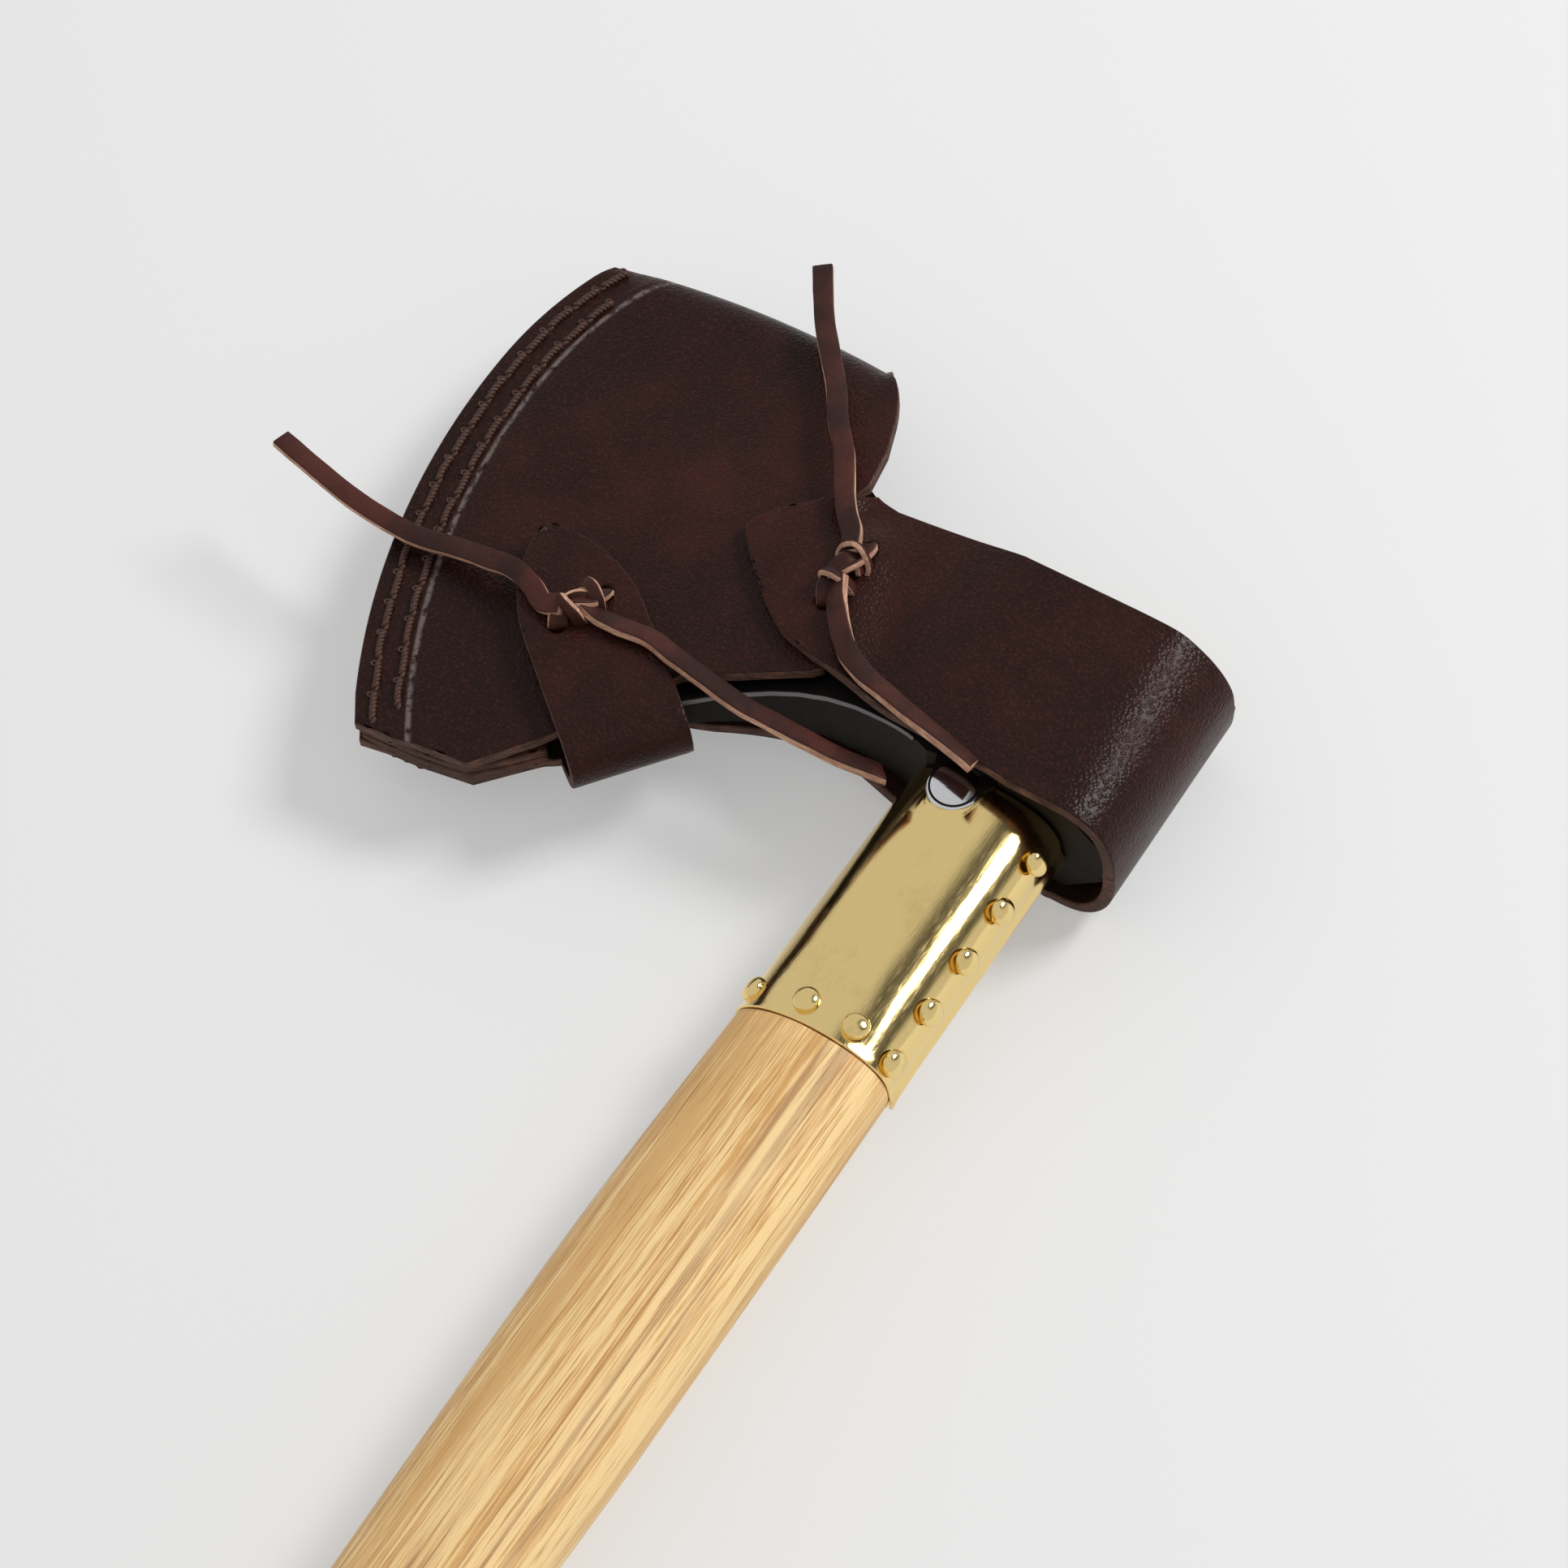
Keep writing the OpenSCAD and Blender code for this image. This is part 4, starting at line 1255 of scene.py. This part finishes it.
def make_handle(material):
    steps = 120
    rings = handle_rings()
    points = []
    for x, back, front, half in rings:
        for a in full_turn(steps):
            y, z = egg(a, back, front, half, 0)
            points.append((x, y, z + MID_Z))
    faces = tube_faces(len(rings), steps, (0, 3, 2, 1)) + turned(tube_ends(len(rings), steps))
    handle = mesh_object("ash_handle", points, faces, [material])
    bore = hang_cutter(material)
    drilled = handle.modifiers.new("hang_hole", "BOOLEAN")
    drilled.operation = "DIFFERENCE"
    drilled.solver = "EXACT"
    drilled.object = bore
    settle(handle)
    bpy.data.objects.remove(bore, do_unlink=True)
    soften_edges(handle, 0.0004, 40)
    settle(handle)
    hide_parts("handle")
    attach(handle, "hatchet")


def hang_cutter(material):
    """The bore with a countersink at both faces, as a turned solid."""
    wide = HANG_R + 1.5
    profile = [(0.001, -20), (wide, -20), (wide, -HANG_FLAT - 0.2), (HANG_R, -HANG_FLAT + 1.4),
               (HANG_R, HANG_FLAT - 1.4), (wide, HANG_FLAT + 0.2), (wide, 20), (0.001, 20)]
    steps = 48
    points = [(HANG_X + r * math.cos(a), HANG_Y + r * math.sin(a), z + MID_Z)
              for r, z in profile for a in full_turn(steps)]
    faces = tube_faces(len(profile), steps) + tube_ends(len(profile), steps)
    return mesh_object("hang_cutter", points, faces, [material])


def settle(made):
    """Modifiers become part of the mesh."""
    graph = bpy.context.evaluated_depsgraph_get()
    mesh = bpy.data.meshes.new_from_object(made.evaluated_get(graph))
    made.modifiers.clear()
    made.data = mesh


# ---------------------------------------------------------------- tacks

TACK_PROFILE = [(2.72, -0.25), (2.74, 0.35), (2.66, 0.72), (2.36, 1.12), (1.85, 1.44), (1.2, 1.66),
                (0.55, 1.77), (0.02, 1.8)]
TACK_R = 2.7
# y, z and lean of the tacks' axes, on the seam and on the rim by the head
SEAM_TACK = (-16.6, 6.4, 150)
RIM_TACKS = [(15.6, 3.6, 35), (3.2, 10.9, 78), (-7.8, 10.9, 96)]


def tack_part(x, y, z, degrees, side):
    """Domed head whose axis leans from +Y towards +Z."""
    a = math.radians(degrees)
    out = np.array([0, math.cos(a), math.sin(a) * side])
    along = np.array([1.0, 0, 0])
    across = np.cross(out, along)
    steps = 32
    centre = np.array([x, y, z * side])
    points = [centre + out * h + r * (math.cos(t) * along + math.sin(t) * across)
              for r, h in TACK_PROFILE for t in full_turn(steps)]
    faces = tube_faces(len(TACK_PROFILE), steps) + tube_ends(len(TACK_PROFILE), steps)[1:]
    return points, faces, [0] * len(faces)


def make_tacks(material):
    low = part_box("seam_tacks")[0][0] / MM
    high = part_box("seam_tacks")[1][0] / MM
    rim_x = sum(corner[0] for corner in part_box("rim_tacks")) / 2 / MM
    seam = [tack_part(x, *SEAM_TACK, 1) for x in np.linspace(low + TACK_R, high - TACK_R, 5)]
    rim_parts = [tack_part(rim_x, *place, side) for place in RIM_TACKS for side in (1, -1)]
    for name, node, parts in (("tacks_seam", "seam_tacks", seam), ("tacks_rim", "rim_tacks", rim_parts)):
        points, faces, _ = join_parts(parts)
        made = mesh_object(name, world_z(points), faces, [material])
        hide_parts(node)
        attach(made, "hatchet")


# ---------------------------------------------------------------- lugs and kept nodes

def make_lug_domes(material):
    """Polished dome of the tongue that shows in the sleeve's notch, on both faces."""
    rings, steps = 12, 48
    radius, rise = LUG_W / 2 + 0.45, 1.1
    outwards = tube_faces(rings, steps, (0, 3, 2, 1)) + [tuple(range(steps))]
    parts = []
    for side in (-1, 1):
        points = []
        for i in range(rings):
            t = min(i / (rings - 2), 1) * math.pi / 2
            r, z = max(radius * math.sin(t), 0.01), rise * math.cos(t)
            z -= 1.5 if i == rings - 1 else 0
            for a in full_turn(steps):
                stretch = 1.35 if math.cos(a) > 0 else 1.0
                points.append((LUG_TIP[0] + stretch * r * math.cos(a),
                               LUG_TIP[1] + r * math.sin(a), side * (LUG_Z + z)))
        faces = outwards if side > 0 else turned(outwards)
        parts.append((points, faces, [0] * len(faces)))
    points, faces, _ = join_parts(parts)
    domes = mesh_object("lug_domes", world_z(points), faces, [material])
    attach(domes, "hatchet")


def dress(node, material):
    """Gives a kept CAD node its finish."""
    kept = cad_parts[node]
    if kept.material_slots:
        for slot in kept.material_slots:
            slot.material = material
    else:
        kept.data.materials.append(material)
    return kept


def soften_edges(made, width, angle, finish=-1):
    """Bevels the edges sharper than an angle; finish is the bevel's material slot, -1 for its faces'."""
    bevel = made.modifiers.new("soft_edges", "BEVEL")
    bevel.width = width
    bevel.segments = 2
    bevel.limit_method = "ANGLE"
    bevel.angle_limit = math.radians(angle)
    bevel.material = finish


THROAT_X = (-62, -17)
THROAT_Y = (17, 80)


def in_throat(p):
    return (THROAT_X[0] < p[0] < THROAT_X[1] and THROAT_Y[0] < p[1] < THROAT_Y[1]
            and p[2] > MID_Z + 1.0)


def throat_arris(head):
    """The long edge along the beard's underside, above the mid-plane, as a line in mm. Corners are
    matched by their rounded places, because the kept mesh is not joined across its faces."""
    matrix = head.matrix_world
    places = [tuple(round(c / MM, 2) for c in matrix @ v.co) for v in head.data.vertices]
    normals = {}
    for face in head.data.polygons:
        for i, j in face.edge_keys:
            if places[i] != places[j]:
                key = tuple(sorted((places[i], places[j])))
                normals.setdefault(key, []).append(face.normal.copy())
    near = {}
    for (a, b), pair in normals.items():
        sharp = len(pair) == 2 and pair[0].angle(pair[1], 0) > math.radians(40)
        if sharp and in_throat(a) and in_throat(b):
            near.setdefault(a, []).append(b)
            near.setdefault(b, []).append(a)
    ends = sorted(p for p in near if len(near[p]) == 1)
    if not ends:
        return None
    line = [ends[0]]
    while True:
        ahead = [p for p in near[line[-1]] if p not in line]
        if not ahead:
            return np.array(line)
        line.append(ahead[0])


def make_arris_highlight(head, material):
    """A thin pale steel tube half sunk along the arris: a painted highlight, the thin light line along the
    beard's underside.
    """
    line = throat_arris(head)
    if line is None or len(line) < 4:
        return
    _, ups, sides = frames_along(line, (0, 0, 1))
    steps, radius, sunk = 8, 0.55, 0.12
    points = [place + radius * (math.cos(a) * side + math.sin(a) * up) - up * sunk
              for place, up, side in zip(line, ups, sides) for a in full_turn(steps)]
    faces = tube_faces(len(line), steps) + tube_ends(len(line), steps)
    made = mesh_object("throat_arris", points, faces, [material])
    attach(made, "hatchet")


# ---------------------------------------------------------------- the whole

def main():
    make_camera()
    make_lights()
    make_floor(floor_material())

    face = leather_face("sheath_leather")
    flesh = leather_flesh()
    edge = leather_edge("sheath_edge", (0.040, 0.018, 0.012), (0.185, 0.080, 0.050))
    raw = leather_edge("welt_edge", (0.036, 0.014, 0.009), (0.165, 0.060, 0.032))
    thongs = [thong_face(), leather_edge("thong_edge", (0.36, 0.18, 0.12), (0.82, 0.52, 0.34))]
    leather = [face, edge, flesh]
    pressed = leather_face("pouch_leather", pressed=True)

    for node, slant in (("poll_tail_upper", 0.0), ("poll_tail_lower", 0.8)):
        make_tail(node, "poll_strap_end", thongs, slant)
    for node, slant in (("beard_tail_outer", 0.0), ("beard_tail_inner", 1.6)):
        make_tail(node, "beard_strap_end", thongs, slant)

    make_pouch([pressed, edge, flesh])
    make_welt(raw)
    thread = thread_material()
    make_stitches("stitches_outer", "outer_stitches", 4, 5, 17, thread)
    make_stitches("stitches_inner", "inner_stitches", 9, 12, 15, thread)
    make_poll_strap(leather)
    make_beard_strap(leather)
    make_knot("knot_poll", "poll_thong_knot", "poll_strap_end", POLL_HOLES, 14.4, thongs)
    make_knot("knot_beard", "beard_thong_knot", "beard_strap_end", BEARD_HOLES, 11.3, thongs)

    polished = brass("brass_sheet", 0.10, 0.35)
    make_sleeve(polished)
    make_tacks(brass("brass_tacks", 0.14, 0.7))

    make_handle(ash_wood("ash", (0.84, 0.605, 0.295), (0.56, 0.285, 0.085), (0.30, 0.135, 0.065)))
    # The head's steel colour is near black: painted shade for the shaded throat and the dark leather it
    # reflects. The bright ground zone along the cutting edge is the steel's own finish.
    head = dress("axe_head", steel("painted_shade_steel", 0.55, (0.020, 0.016, 0.015), ground=True))
    # Pale steel on the bevels of the head's sharp edges: a painted highlight along each edge.
    head.data.materials.append(steel("painted_highlight_steel", 0.22, (0.58, 0.59, 0.60)))
    soften_edges(head, 0.0011, 35, len(head.data.materials) - 1)
    # A pale steel tube along the throat's arris: painted highlight.
    make_arris_highlight(head, steel("arris_painted_highlight", 0.38, (0.20, 0.19, 0.19)))
    make_lug_domes(steel("lug_steel", 0.05, (0.72, 0.73, 0.75)))
    dress("eye_wedge", ash_wood("wedge_wood", (0.42, 0.21, 0.08), (0.25, 0.11, 0.04), (0.12, 0.05, 0.02)))
    dress("cross_wedge", steel("wedge_steel", 0.34, (0.38, 0.38, 0.39)))


main()
